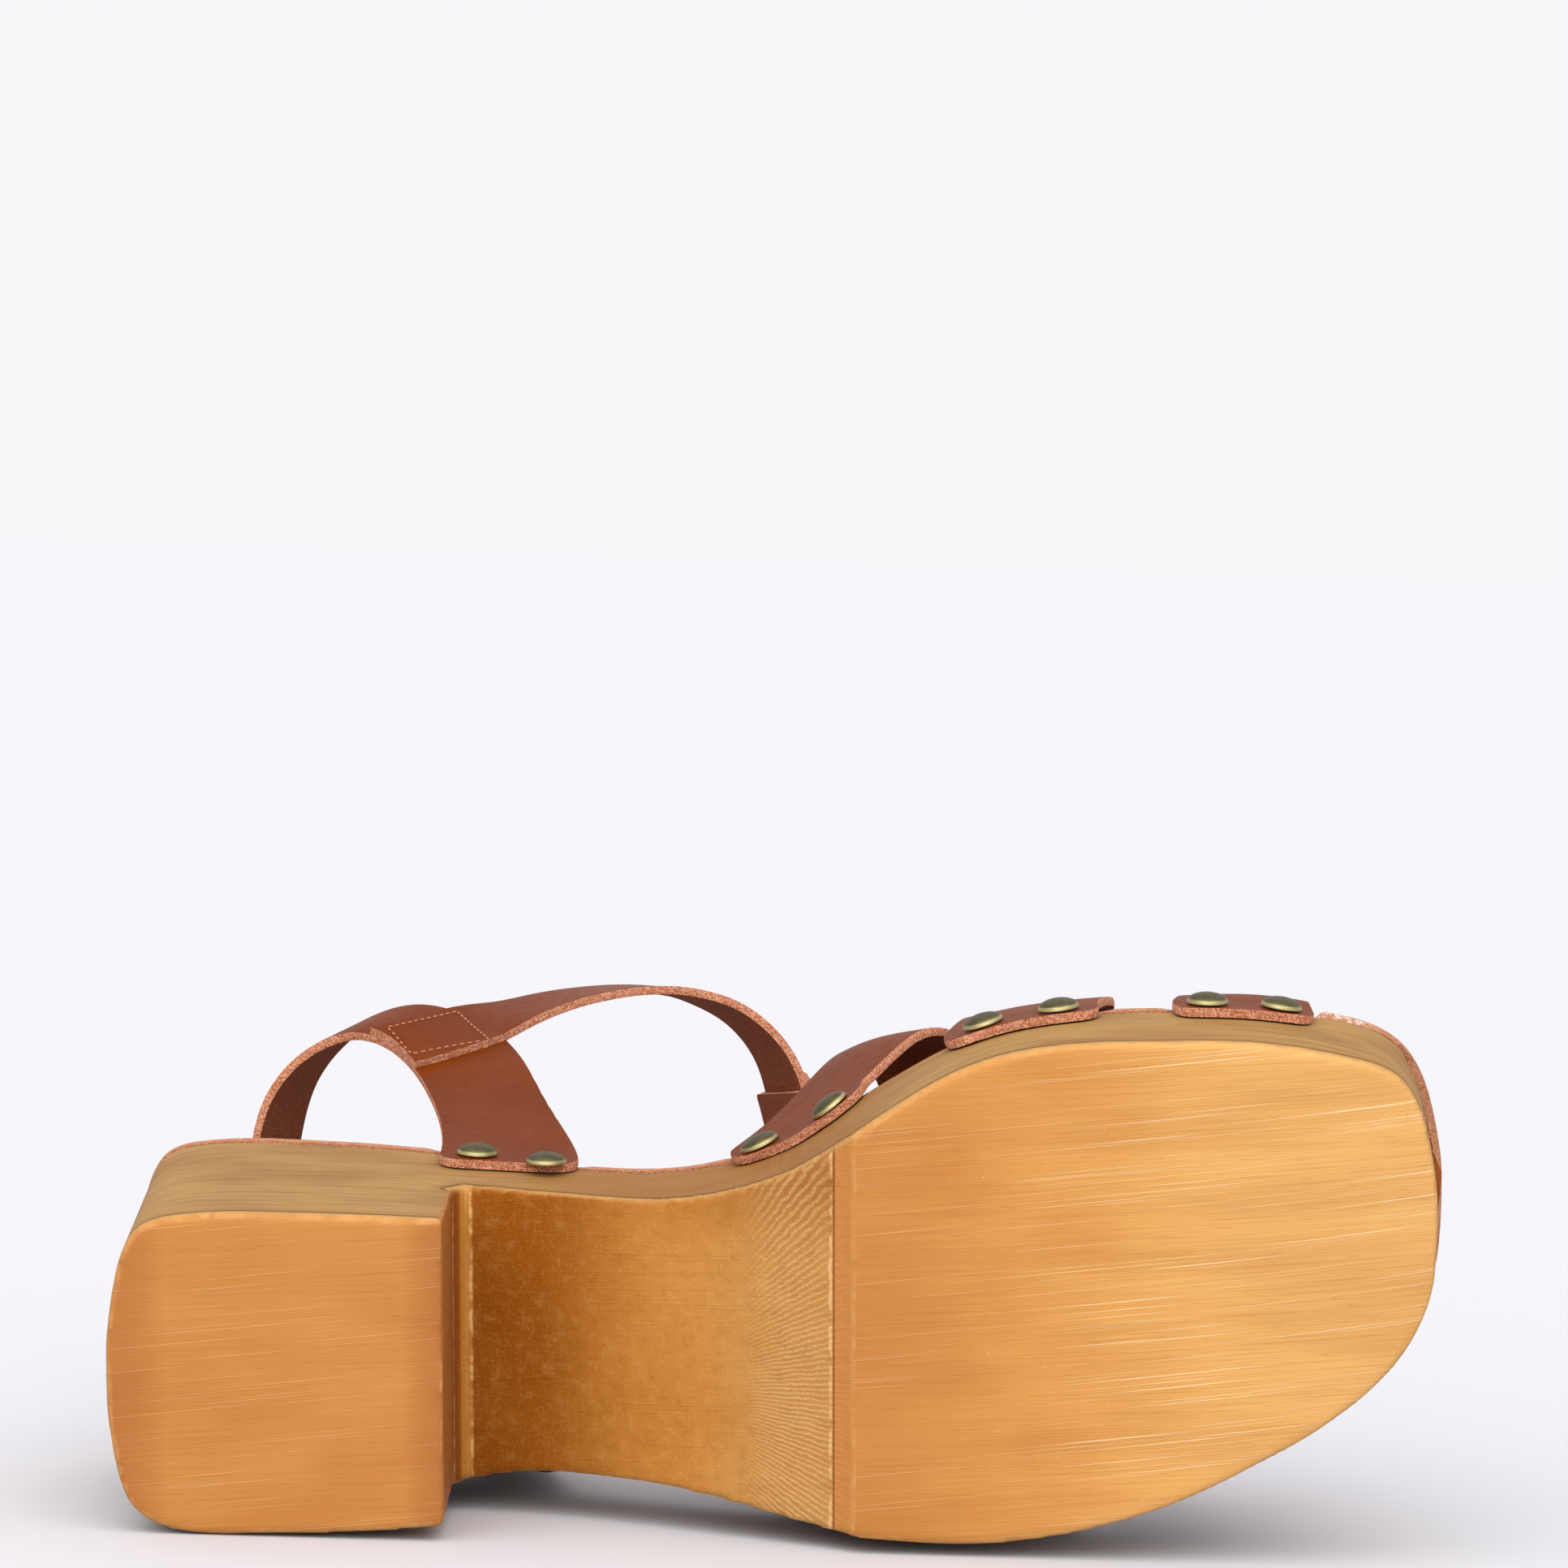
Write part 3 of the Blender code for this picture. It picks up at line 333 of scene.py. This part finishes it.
def band(tree, value, start, end, soft=0.0003):
    """Gives 1 while a value is between start and end, with soft sides."""
    rising = add(tree, "MapRange", (value, start - soft, start + soft), **SMOOTH)
    falling = add(tree, "MapRange", (value, end - soft, end + soft, 1.0, 0.0), **SMOOTH)
    return add(tree, "Math", (rising, falling), **TIMES)


# A Mix node between two colours has its share at input 0 and the colours at inputs 6 and 7.
def stained(tree, tone, layers):
    """Lays stains over a tone, each with its share, its colour and its strength.

    A share is a socket, or a pattern and the two values between which the stain comes up.
    """
    for share, hex_code, strength in layers:
        if isinstance(share, tuple):
            share = add(tree, "MapRange", share, **SMOOTH)
        amount = add(tree, "Math", (share, strength), **TIMES)
        tone = add(tree, "Mix", {0: amount, 6: tone, 7: colour(hex_code)}, 2, data_type="RGBA")
    return tone


face_fibres, wall_fibres = patterns["face_fibres"], patterns["wall_fibres"]
stain, dents, grit = patterns["stain"], patterns["dents"], patterns["grit"]
stain_share = add(tree, "MapRange", (stain, 0.35, 0.65), **SMOOTH)
pores = add(tree, "MapRange", (patterns["pores"], 0.64, 0.75), **SMOOTH)
stroke_lines = add(tree, "MapRange", (patterns["strokes"], 0.59, 0.71), **SMOOTH)
stroke_places = add(tree, "MapRange", (patterns["stroke_patches"], 0.32, 0.56), **SMOOTH)
strokes = add(tree, "Math", (stroke_lines, stroke_places), **TIMES)
nick_spots = add(tree, "MapRange", (patterns["nicks"], 0.74, 0.82), **SMOOTH)
nicks = add(tree, "Math", (nick_spots, band(tree, along, 0.155, 0.215, 0.010)), **TIMES)

# The walking face is redder round the heel's ends and at the waist, and paler towards the toe.
heel_back = add(tree, "MapRange", (along, 0.002, 0.022, 1.0, 0.0), **SMOOTH)
heel_front = add(tree, "MapRange", (along, 0.046, 0.062), **SMOOTH)
on_heel = add(tree, "MapRange", (along, 0.064, 0.067, 1.0, 0.0), **SMOOTH)
heel_ends = add(tree, "Math", (heel_back, heel_front), operation="MAXIMUM")
heel_ends = add(tree, "Math", (heel_ends, on_heel), **TIMES)
waist_side = add(tree, "MapRange", (along, 0.139, 0.205, 0.58, 0.0), **SMOOTH)
reddened = add(tree, "Math", (heel_ends, waist_side), operation="MAXIMUM")
brushing = add(tree, "MapRange", (along, 0.150, 0.205, 0.25, 0.85), **SMOOTH)
base = {0: stain_share, 6: colour("CA8D47"), 7: colour("D3984F")}
face_tone = add(tree, "Mix", base, 2, data_type="RGBA")
face_tone = stained(
    tree,
    face_tone,
    (
        ((along, 0.160, 0.235), "D6A866", 0.70),
        (reddened, "985428", 0.72),
        ((patterns["figure"], 0.38, 0.70), "B0733A", 0.32),
        ((face_fibres, 0.46, 0.72), "A06028", 0.34),
        (pores, "86501F", 0.22),
        (add(tree, "Math", (strokes, brushing), **TIMES), "E6C292", 1.0),
        (nicks, "E8C698", 0.7),
    ),
)

# The cutter left a fan of fine passes at the front of the hollow, a millimetre apart at its reach.
# They wander a little, and grit has half rubbed them out in places.
FAN_CENTRE = (0.0980, 0.0075)
FAN_PITCH = 0.0010
FAN_REACH = 0.034
FAN_WANDER = 6.0
FAN_TURNS = 2 * math.pi * FAN_REACH / FAN_PITCH
fan_x = add(tree, "Math", (along, FAN_CENTRE[0]), operation="SUBTRACT")
fan_y = add(tree, "Math", (across, FAN_CENTRE[1]), operation="SUBTRACT")
fan_angle = add(tree, "Math", (fan_y, fan_x), operation="ARCTAN2")
wander = add(tree, "Math", (dents, FAN_WANDER), **TIMES)
fan = add(tree, "Math", (fan_angle, FAN_TURNS, wander), operation="MULTIPLY_ADD")
fan = add(tree, "Math", (fan,), operation="SINE")
fan_ridges = add(tree, "MapRange", (fan, -0.6, 0.9), **SMOOTH)
unworn = add(tree, "MapRange", (grit, 0.30, 0.55, 0.45, 1.0), **SMOOTH)
fan_part = add(tree, "Math", (band(tree, along, 0.1215, 0.1352, 0.0050), unworn), **TIMES)
passes = add(tree, "Math", (fan_ridges, fan_part), **TIMES)
# Ledges are left where the cutter entered, behind the heel and at the forefoot, with torn burrs.
HEEL_LEDGE = (0.0638, 0.0660)
FRONT_LEDGE = (0.1354, 0.1400)
BURR_DEPTH = 0.0008
ragged = add(tree, "Math", (dents, BURR_DEPTH, along), operation="MULTIPLY_ADD")
heel_torn = add(tree, "MapRange", (dents, 0.40, 0.62), **SMOOTH)
heel_burr = add(tree, "Math", (band(tree, ragged, 0.0660, 0.0666, 0.0002), heel_torn), **TIMES)
front_torn = add(tree, "MapRange", (dents, 0.35, 0.60), **SMOOTH)
front_burr = add(tree, "Math", (band(tree, ragged, 0.1349, 0.1354, 0.0002), front_torn), **TIMES)
# The hollow is dark by the heel breast and pales forward. This is painted shade for the heel's cast
# shadow on the deep hollow, together with a darker stain there.
shadow_and_stain_fade = add(tree, "MapRange", (along, 0.076, 0.106), **SMOOTH)
base = {0: shadow_and_stain_fade, 6: colour("8C4A02"), 7: colour("BE803A")}
hollow_tone = add(tree, "Mix", base, 2, data_type="RGBA")
hollow_tone = stained(
    tree,
    hollow_tone,
    (
        ((along, 0.104, 0.128), "B4844A", 0.8),
        ((stain, 0.30, 0.72), "A8691F", 0.45),
        ((dents, 0.50, 0.74), "D2A060", 0.12),
        ((dents, 0.48, 0.28), "74400C", 0.14),
        ((grit, 0.54, 0.70), "D8AC70", 0.12),
        ((patterns["rasp"], 0.54, 0.72), "DDB074", 0.05),
        ((across, -0.020, -0.038), "864608", 0.55),
        (passes, "DDB67C", 0.36),
        # Painted shade darkens the narrow corner strip between the heel breast and its ledge.
        ((along, HEEL_LEDGE[0], 0.0630), "7C431C", 0.85),
        (band(tree, along, *HEEL_LEDGE, 0.0002), "B47830", 0.9),
        (heel_burr, "E0B070", 0.8),
        (band(tree, along, *FRONT_LEDGE, 0.0002), "BC7D40", 0.95),
        (front_burr, "E2B880", 0.7),
        # A thin dark line of painted shade runs along the ridge where the front ledge begins.
        (band(tree, along, 0.1351, 0.1355, 0.0001), "7C4A1C", 0.8),
    ),
)

# The walls are matt and browner, darker towards the lower corner, with a pale line and then a darker line
# just above that corner.
base = {0: stain_share, 6: colour("8E683B"), 7: colour("9B7745")}
wall_tone = add(tree, "Mix", base, 2, data_type="RGBA")
wall_tone = stained(
    tree,
    wall_tone,
    (
        ((wall_fibres, 0.45, 0.72), "704E26", 0.50),
        (band(tree, along, 0.080, 0.140, 0.016), "86521F", 0.62),
        ((edge_gap, 0.0060, 0.0010), "86602F", 0.55),
        ((edge_gap, 0.0014, 0.0010), "B08650", 0.75),
        (band(tree, edge_gap, 0.0014, 0.0022, 0.0003), "5E3812", 0.7),
    ),
)

# The three tones meet at the hollow's ends and at the lower corners. The corners are painted pale in
# patches, as a highlight along their bevel and as rubbed wear.
in_hollow = band(tree, along, BREAST, FOREFOOT, 0.0001)
base = {0: in_hollow, 6: face_tone, 7: hollow_tone}
under_tone = add(tree, "Mix", base, 2, data_type="RGBA")
base = {0: under, 6: wall_tone, 7: under_tone}
wood_tone = add(tree, "Mix", base, 2, data_type="RGBA")
# Painted highlight and rubbed wear: the lower corners turn pale within a millimetre.
at_corner = add(tree, "MapRange", (edge_gap, 0.0008, 0.0003), **SMOOTH)
corner_highlight_wear_patches = add(tree, "MapRange", (dents, 0.35, 0.65, 0.35, 0.9), **SMOOTH)
corner_highlight_and_wear = add(tree, "Math", (at_corner, corner_highlight_wear_patches), **TIMES)
wood_tone = stained(tree, wood_tone, ((corner_highlight_and_wear, "CE9A5C", 0.6),))

# The relief is a few tenths of a millimetre: fibres and brush marks outside, dents and grit in the
# hollow. Fine fibres and brush marks are on the walking face alone.
fibres_under = add(tree, "Math", (face_fibres, under), **TIMES)
relief = add(tree, "Math", (fibres_under, 0.2), **TIMES)
for pattern, part, height in (
    (wall_fibres, 1.0, 0.2),
    (strokes, under, 0.35),
    (dents, in_hollow, 1.3),
    (grit, in_hollow, 0.6),
    (passes, in_hollow, 0.8),
):
    share = add(tree, "Math", (pattern, part), **TIMES)
    relief = add(tree, "Math", (share, height, relief), operation="MULTIPLY_ADD")
# The stain soaks in and leaves no film, so the wood shines less than its IOR would give.
inputs = {
    "Base Color": wood_tone,
    "Roughness": add(tree, "MapRange", (fibres_under, 0.0, 0.7, 0.65, 0.46), **SMOOTH),
    "IOR": 1.5,
    "Specular IOR Level": 0.1,
    "Normal": add(tree, "Bump", {"Strength": 0.6, "Distance": 0.00025, "Height": relief}),
}
add(tree, "OutputMaterial", {"Surface": add(tree, "BsdfPrincipled", inputs)})
smooth_shaded(sole)
sole.data.materials.append(wood)
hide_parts("wooden_sole")
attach(sole, "root")

# The straps and the insole
# Vegetable tanned cowhide 1.8 mm thick, dyed reddish brown on its smooth grain side. The flesh
# side is darker and napped, and the cut edges are left raw, pale and fibrous.
THICKEST_LEATHER = 0.0050
FOOT_PATH = ((0.215, 0.0, 0.045), (0.115, 0.0, 0.078), (0.048, 0.0, 0.110), (0.048, 0.0, 0.30))
OUTLINE_CREASE = 0.80
WORN_ROUNDS = 12
UNDER_SKIN = 0.0002


def foot_side(point):
    """Gives the outward direction from the middle of the foot and leg at a point."""
    stood_point = to_standing @ point
    gaps = []
    for start, end in zip(FOOT_PATH[:-1], FOOT_PATH[1:]):
        run = Vector(end) - Vector(start)
        share = min(max((stood_point - Vector(start)).dot(run) / run.dot(run), 0), 1)
        gaps.append(stood_point - Vector(start) - share * run)
    outward = min(gaps, key=lambda gap: gap.length)
    return (standing.to_3x3() @ outward).normalized()


def outline_links(mesh):
    """Gives each point's neighbours along the creased outlines of a piece."""
    crease = mesh.attributes["crease_edge"]
    links = {}
    for edge in mesh.edges:
        if crease.data[edge.index].value > CREASED:
            a, b = edge.vertices
            links.setdefault(a, []).append(b)
            links.setdefault(b, []).append(a)
    return links


def sides_of(mesh):
    """Groups a piece's faces into the sides that its creased outlines part."""
    creased = outline_links(mesh)
    across = {}
    for face in mesh.polygons:
        for a, b in face.edge_keys:
            if b not in creased.get(a, ()):
                across.setdefault((a, b), []).append(face.index)
    neighbours = {face.index: [] for face in mesh.polygons}
    for pair in across.values():
        if len(pair) == 2:
            neighbours[pair[0]].append(pair[1])
            neighbours[pair[1]].append(pair[0])
    waiting = set(neighbours)
    sides = []
    while waiting:
        side = [waiting.pop()]
        for index in side:
            fresh = [n for n in neighbours[index] if n in waiting]
            waiting.difference_update(fresh)
            side += fresh
        sides.append(side)
    return sides


def ease_outline(piece, where, radius, times):
    """Rounds a piece's outline near a place in the standing frame, as a worn cut corner is."""
    mesh = piece.data
    links = outline_links(mesh)
    middle = standing @ Vector(where)
    for _ in range(times):
        moved = {}
        for index, near in links.items():
            here = mesh.vertices[index].co
            share = max(0.0, 1 - (here - middle).length / radius)
            if share > 0 and len(near) == 2:
                target = (mesh.vertices[near[0]].co + mesh.vertices[near[1]].co) / 2
                moved[index] = here.lerp(target, 0.6 * min(1.0, 2 * share))
        for index, place in moved.items():
            mesh.vertices[index].co = place


def bowed(piece, bows):
    """Bows a piece near places in the standing frame, each with its reach and its shift."""
    points = points_of(piece)
    stood_points = points @ standing_turn.T + standing_shift
    for where, reach, bow in bows:
        share = 1 - eased(np.linalg.norm((stood_points - where) / reach, axis=1), 0.0, 1.0)
        points += np.outer(share, bow) @ standing_turn
    put_points(piece, points)


def cut_from_hide(node, name, grain, flesh, raw_edge, eased_at=(), bows=()):
    """Makes one leather piece from its node, with its grain, flesh and raw edge told apart."""
    piece = copy_of(node, name, crease=OUTLINE_CREASE)
    mesh = piece.data
    for material in (grain, flesh, raw_edge):
        mesh.materials.append(material)
    tree = BVHTree.FromPolygons([v.co for v in mesh.vertices], [tuple(f.vertices) for f in mesh.polygons])
    for side in sides_of(mesh):
        votes = [0.0, 0.0, 0.0]
        for index in side:
            face = mesh.polygons[index]
            inward = -face.normal
            hit = tree.ray_cast(face.center + inward * UNDER_SKIN, inward)
            if hit[0] is None or hit[3] > THICKEST_LEATHER:
                votes[2] += face.area
            else:
                votes[inward.dot(foot_side(face.center)) > 0] += face.area
        for index in side:
            mesh.polygons[index].material_index = votes.index(max(votes))
    for where, radius in eased_at:
        ease_outline(piece, where, radius, WORN_ROUNDS)
    bowed(piece, bows)
    work(piece, "SUBSURF", levels=2, render_levels=2)
    bpy.ops.object.shade_smooth_by_angle(angle=math.radians(40))
    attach(piece, "root")
    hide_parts(node)
    return piece


# Smooth dyed grain: pores 0.5 mm apart, a little coarser than real ones so that they show.
PORE_SPACING = 0.00053
FINE_CREASE = 0.0024
DYE_PATCH = 0.016
ROUGHER_CREASE = 0.08


def grain_material(name, tone_a, tone_b, roughness):
    """Makes the smooth dyed grain side of leather, with pores and soft creases."""
    material, tree = new_material(name)
    place = add(tree, "TexCoord", (), "Object")
    mottle = add(tree, "TexNoise", {"Vector": place, "Scale": 1 / DYE_PATCH, "Detail": 3.0})
    mottle = add(tree, "MapRange", (mottle, 0.3, 0.7), **SMOOTH)
    inputs = {"Vector": place, "Scale": 1 / FINE_CREASE, "Detail": 4.0, "Roughness": 0.6}
    creases = add(tree, "TexNoise", inputs)
    inputs = {"Vector": place, "Scale": 1 / PORE_SPACING}
    pores = add(tree, "TexVoronoi", inputs, feature="DISTANCE_TO_EDGE")
    base = {0: mottle, 6: colour(tone_a), 7: colour(tone_b)}
    tone = add(tree, "Mix", base, 2, data_type="RGBA")
    tone = stained(tree, tone, (((pores, 0.10, 0.0), tone_b, 0.3),))
    relief = add(tree, "MapRange", (pores, 0.0, 0.12, 0.0, 0.25), **SMOOTH)
    relief = add(tree, "Math", (creases, 0.5, relief), operation="MULTIPLY_ADD")
    shine = (creases, 0.3, 0.7, roughness, roughness + ROUGHER_CREASE)
    inputs = {
        "Base Color": tone,
        "Roughness": add(tree, "MapRange", shine, **SMOOTH),
        "IOR": 1.48,
        "Specular IOR Level": 0.06,
        "Normal": add(tree, "Bump", {"Strength": 0.5, "Distance": 0.0002, "Height": relief}),
    }
    add(tree, "OutputMaterial", {"Surface": add(tree, "BsdfPrincipled", inputs)})
    return material


# Dried glue lies in spots about a millimetre across.
GLUE_SPOT = 0.0011


def fibre_material(name, pale, deep, fibre, smear=None):
    """Makes leather whose fibres show, as on a flesh side or a cut edge."""
    material, tree = new_material(name)
    place = add(tree, "TexCoord", (), "Object")
    nap = add(tree, "TexNoise", {"Vector": place, "Scale": 1 / fibre, "Detail": 3.0, "Roughness": 0.7})
    clumps = add(tree, "TexNoise", {"Vector": place, "Scale": 0.25 / fibre, "Detail": 2.0})
    standing_fibres = add(tree, "MapRange", (nap, 0.34, 0.64), **SMOOTH)
    base = {0: standing_fibres, 6: colour(deep), 7: colour(pale)}
    tone = add(tree, "Mix", base, 2, data_type="RGBA")
    tone = stained(tree, tone, (((clumps, 0.45, 0.70), deep, 0.35),))
    if smear:
        tone = smear(tree, place, tone)
    height = add(tree, "Math", (nap, clumps), operation="ADD")
    inputs = {
        "Base Color": tone,
        "Roughness": 0.95,
        "IOR": 1.48,
        "Specular IOR Level": 0.05,
        "Sheen Weight": 0.06,
        "Normal": add(tree, "Bump", {"Strength": 0.9, "Distance": 1.5 * fibre, "Height": height}),
    }
    add(tree, "OutputMaterial", {"Surface": add(tree, "BsdfPrincipled", inputs)})
    return material


def dried_glue(tree, place, tone):
    """Smears dried glue, which shows white, along the rim at the inner side of the toe."""
    inputs = {"Vector": place, "Location": grain_shift, "Rotation": grain_turn}
    own = add(tree, "Mapping", inputs)
    inputs = {"Vector": own, "Scale": 1 / GLUE_SPOT, "Detail": 3.0, "Roughness": 0.6}
    spots = add(tree, "MapRange", (add(tree, "TexNoise", inputs), 0.46, 0.60), **SMOOTH)
    toe_part = band(tree, add(tree, "SeparateXYZ", (own,), "X"), 0.2235, 0.2375, 0.0020)
    inner_part = (add(tree, "SeparateXYZ", (own,), "Y"), -0.010, -0.020)
    spots = add(tree, "Math", (spots, toe_part), **TIMES)
    spots = add(tree, "Math", (spots, add(tree, "MapRange", inner_part, **SMOOTH)), **TIMES)
    return stained(tree, tone, ((spots, "E8D2C8", 0.8),))


strap_grain = grain_material("vegetable_tanned_grain", "6C2D03", "632802", 0.40)
# The napped flesh side is darker, with fibres about 0.5 mm long.
strap_flesh = fibre_material("leather_flesh_side", "8A4722", "703514", 0.0005)
# Knife cut and left raw: the fibres stand up pale, in clumps nearly 2 mm across.
strap_edge = fibre_material("raw_leather_edge", "E4A686", "A65C36", 0.00045)
# The insole is the same hide in a lighter tan.
insole_grain = grain_material("tan_insole_grain", "A05A2C", "94501F", 0.5)
insole_edge = fibre_material("raw_insole_edge", "CC9270", "A86A44", 0.00042, dried_glue)

# The rear strap's front corner is worn round, over 18 mm.
REAR_STRAP_CORNER = ((0.1425, -0.0485, 0.0330), 0.018)
# Worn straps bow away from the wood a millimetre or two above their nailed ends.
FRONT_BOWS = (
    ((0.143, -0.047, 0.060), (0.030, 0.030, 0.034), (0, -0.0021, 0)),
    ((0.188, -0.061, 0.048), (0.012, 0.014, 0.018), (0.0024, -0.0006, 0)),
)
TOE_BOWS = (((0.221, -0.062, 0.041), (0.032, 0.020, 0.013), (0, -0.0016, 0)),)
on_wood = []
for node, name, eased_at, bows in (
    ("front_straps", "crossed_front_straps", (REAR_STRAP_CORNER,), FRONT_BOWS),
    ("toe_strap", "toe_strap_leather", (), TOE_BOWS),
    ("ankle_straps", "ankle_and_heel_straps", (), ()),
    ("strap_tip", "strap_free_end", (), ()),
    ("keeper", "strap_keeper", (), ()),
):
    strap = cut_from_hide(node, name, strap_grain, strap_flesh, strap_edge, eased_at, bows)
    if node == "ankle_straps":
        ankle = strap
    if node != "keeper":
        on_wood.append(strap)

insole = cut_from_hide("insole", "leather_insole", insole_grain, insole_grain, insole_edge)
# Its rim bulges a little past the wood between the straps, and most at the inner toe corner. Behind
# the front straps, where they hide it, it sinks instead.
RIM_BULGE = 0.0004
TOE_BULGE = 0.0016
HIDDEN_SINK = 0.0009
FAR_APART = 0.02
rim_points = points_of(insole)
rim_normals = normals_of(insole)
rim_stood = rim_points @ standing_turn.T + standing_shift
rim_level = np.abs(rim_normals @ standing_turn.T)[:, 2]
strap_gaps = np.full(len(rim_points), FAR_APART)
for strap in on_wood:
    strap_tree = kdtree.KDTree(len(strap.data.vertices))
    for vertex in strap.data.vertices:
        strap_tree.insert(vertex.co, vertex.index)
    strap_tree.balance()
    strap_gaps = np.minimum(strap_gaps, [strap_tree.find(p)[2] for p in rim_points])
clear = eased(strap_gaps, 0.0008, 0.0032)
toe_corner = eased(rim_stood[:, 0], 0.198, 0.212) * eased(-rim_stood[:, 1], -0.030, 0.0)
hidden = eased(rim_stood[:, 0], 0.138, 0.144) * eased(-rim_stood[:, 0], -0.172, -0.166)
hidden = hidden * eased(-rim_stood[:, 1], 0.0, 0.010)
on_rim = 1 - eased(rim_level, 0.35, 0.90)
bulge = clear * (RIM_BULGE + TOE_BULGE * toe_corner) * (1 - hidden) - HIDDEN_SINK * hidden
put_points(insole, rim_points + rim_normals * (bulge * on_rim)[:, None])

# The box stitching
# Pale waxed thread sews each ankle strap end flat on the heel strap, in a slanted box.
# Each stitch is 1.2 mm long and sinks its ends in the leather. The box's corners are places
# along the sole and up from it.
THREAD = 0.00042
THREAD_STANDS = 0.12
THREAD_TWIST = 0.0003
STITCH = 0.00120
STITCH_PITCH = 0.00165
OUTSIDE = 0.15
NEAR_MIDDLE = 0.01
BOX_CORNERS = ((0.0438, 0.1194), (0.0576, 0.1310), (0.0650, 0.1168), (0.0494, 0.1103))

bpy.ops.object.select_all(action="DESELECT")
bpy.ops.mesh.primitive_uv_sphere_add(segments=8, ring_count=6, radius=0.5)
stitch_pattern = bpy.context.object
stitch_pattern.data.transform(Matrix.Diagonal((STITCH, THREAD, THREAD, 1)))
ankle_tree = BVHTree.FromPolygons(
    [to_standing @ v.co for v in ankle.data.vertices], [tuple(p.vertices) for p in ankle.data.polygons]
)
stitches = []
for side in (-1, 1):
    for first, second in zip(BOX_CORNERS, BOX_CORNERS[1:] + BOX_CORNERS[:1]):
        start = Vector((first[0], 0, first[1]))
        end = Vector((second[0], 0, second[1]))
        count = round((end - start).length / STITCH_PITCH)
        for i in range(count):
            target = start.lerp(end, (i + 0.5) / count)
            outside = Vector((target.x, side * OUTSIDE, target.z))
            hit, normal, _, _ = ankle_tree.ray_cast(outside, Vector((0, -side, 0)), 2 * OUTSIDE)
            if hit is None or hit.y * side < NEAR_MIDDLE:
                continue
            seam = (end - start) - (end - start).dot(normal) * normal
            seam.normalize()
            seam_turn = Matrix((seam, normal.cross(seam), normal)).transposed().to_4x4()
            seat = Matrix.Translation(hit + normal * THREAD * THREAD_STANDS)
            stitch = bpy.data.objects.new("stitch", stitch_pattern.data.copy())
            stitch.data.transform(standing @ seat @ seam_turn)
            bpy.context.scene.collection.objects.link(stitch)
            stitches.append(stitch)
bpy.data.objects.remove(stitch_pattern)
bpy.ops.object.select_all(action="DESELECT")
for stitch in stitches:
    stitch.select_set(True)
box_stitching = stitches[0]
bpy.context.view_layer.objects.active = box_stitching
bpy.ops.object.join()
box_stitching.name = "box_stitching"
smooth_shaded(box_stitching)
# Waxed linen thread: matt, with a twist of 0.3 mm.
thread, tree = new_material("waxed_linen_thread")
place = add(tree, "TexCoord", (), "Object")
twist = add(tree, "TexNoise", {"Vector": place, "Scale": 1 / THREAD_TWIST, "Detail": 2.0})
twist_share = add(tree, "MapRange", (twist, 0.35, 0.65), **SMOOTH)
base = {0: twist_share, 6: colour("96603F"), 7: colour("B9805E")}
inputs = {
    "Base Color": add(tree, "Mix", base, 2, data_type="RGBA"),
    "Roughness": 0.7,
    "Normal": add(tree, "Bump", {"Strength": 0.5, "Distance": 0.0001, "Height": twist}),
}
add(tree, "OutputMaterial", {"Surface": add(tree, "BsdfPrincipled", inputs)})
box_stitching.data.materials.append(thread)
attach(box_stitching, "root")

# The nails and the buckle
# Domed nail heads are struck from brass and dulled to an olive gold, with their rims painted bright as a
# reflection of the pale floor. The buckle is bent from brass wire with the same finish, a little paler
# all over, and its prong closes on it.
# The tarnish lies in patches of 1.6 mm, and the scuffs are 0.2 mm wide.
TARNISH_PATCH = 0.0016
SCUFF = (0.0009, 0.00022, 0.0009)
BUCKLE_PALING = 0.15
brass, tree = new_material("antique_brass")
place = add(tree, "TexCoord", (), "Object")
inputs = {"Vector": place, "Scale": 1 / TARNISH_PATCH, "Detail": 4.0, "Roughness": 0.6}
tarnish = add(tree, "TexNoise", inputs)
tarnish_share = add(tree, "MapRange", (tarnish, 0.35, 0.68), **SMOOTH)
scaled = add(tree, "Mapping", {"Vector": place, "Scale": [1 / size for size in SCUFF]})
scuffs = add(tree, "TexNoise", {"Vector": scaled, "Scale": 1.0, "Detail": 2.0})
base = {0: tarnish_share, 6: colour("5B553B"), 7: colour("4F4A33")}
brass_tone = add(tree, "Mix", base, 2, data_type="RGBA")
# This share gives each nail's outer rim a painted reflection of the pale floor, and gives the buckle an
# even paler tone.
rim_reflection_and_paling_share = add(tree, "Attribute", (), "Fac", attribute_name="rim_reflection_and_paling")
inputs = {
    "Base Color": stained(tree, brass_tone, ((rim_reflection_and_paling_share, "C8BA84", 0.7),)),
    "Metallic": 1.0,
    "Roughness": add(tree, "MapRange", (scuffs, 0.3, 0.7, 0.42, 0.54), **SMOOTH),
    "Normal": add(tree, "Bump", {"Strength": 0.15, "Distance": 0.0001, "Height": tarnish}),
}
add(tree, "OutputMaterial", {"Surface": add(tree, "BsdfPrincipled", inputs)})

nails = sorted(name for name in frame["nodes"] if name.startswith("stud_"))
for node in nails + ["buckle_frame", "buckle_prong"]:
    fitting = copy_of(node, node.replace("stud", "domed_nail") + "_brass", corner=50)
    work(fitting, "SUBSURF", levels=2, render_levels=2)
    smooth_shaded(fitting)
    head = points_of(fitting) - points_of(fitting).mean(axis=0)
    dome_axis = np.linalg.eigh(head.T @ head)[1][:, 0]
    reach = np.linalg.norm(head - np.outer(head @ dome_axis, dome_axis), axis=1)
    # The outer rim of each nail head carries the painted reflection.
    worn = eased(reach / reach.max(), 0.90, 0.98)
    mark(fitting, "rim_reflection_and_paling", worn if node in nails else np.full(len(worn), BUCKLE_PALING))
    fitting.data.materials.append(brass)
    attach(fitting, "root")
    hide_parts(node)
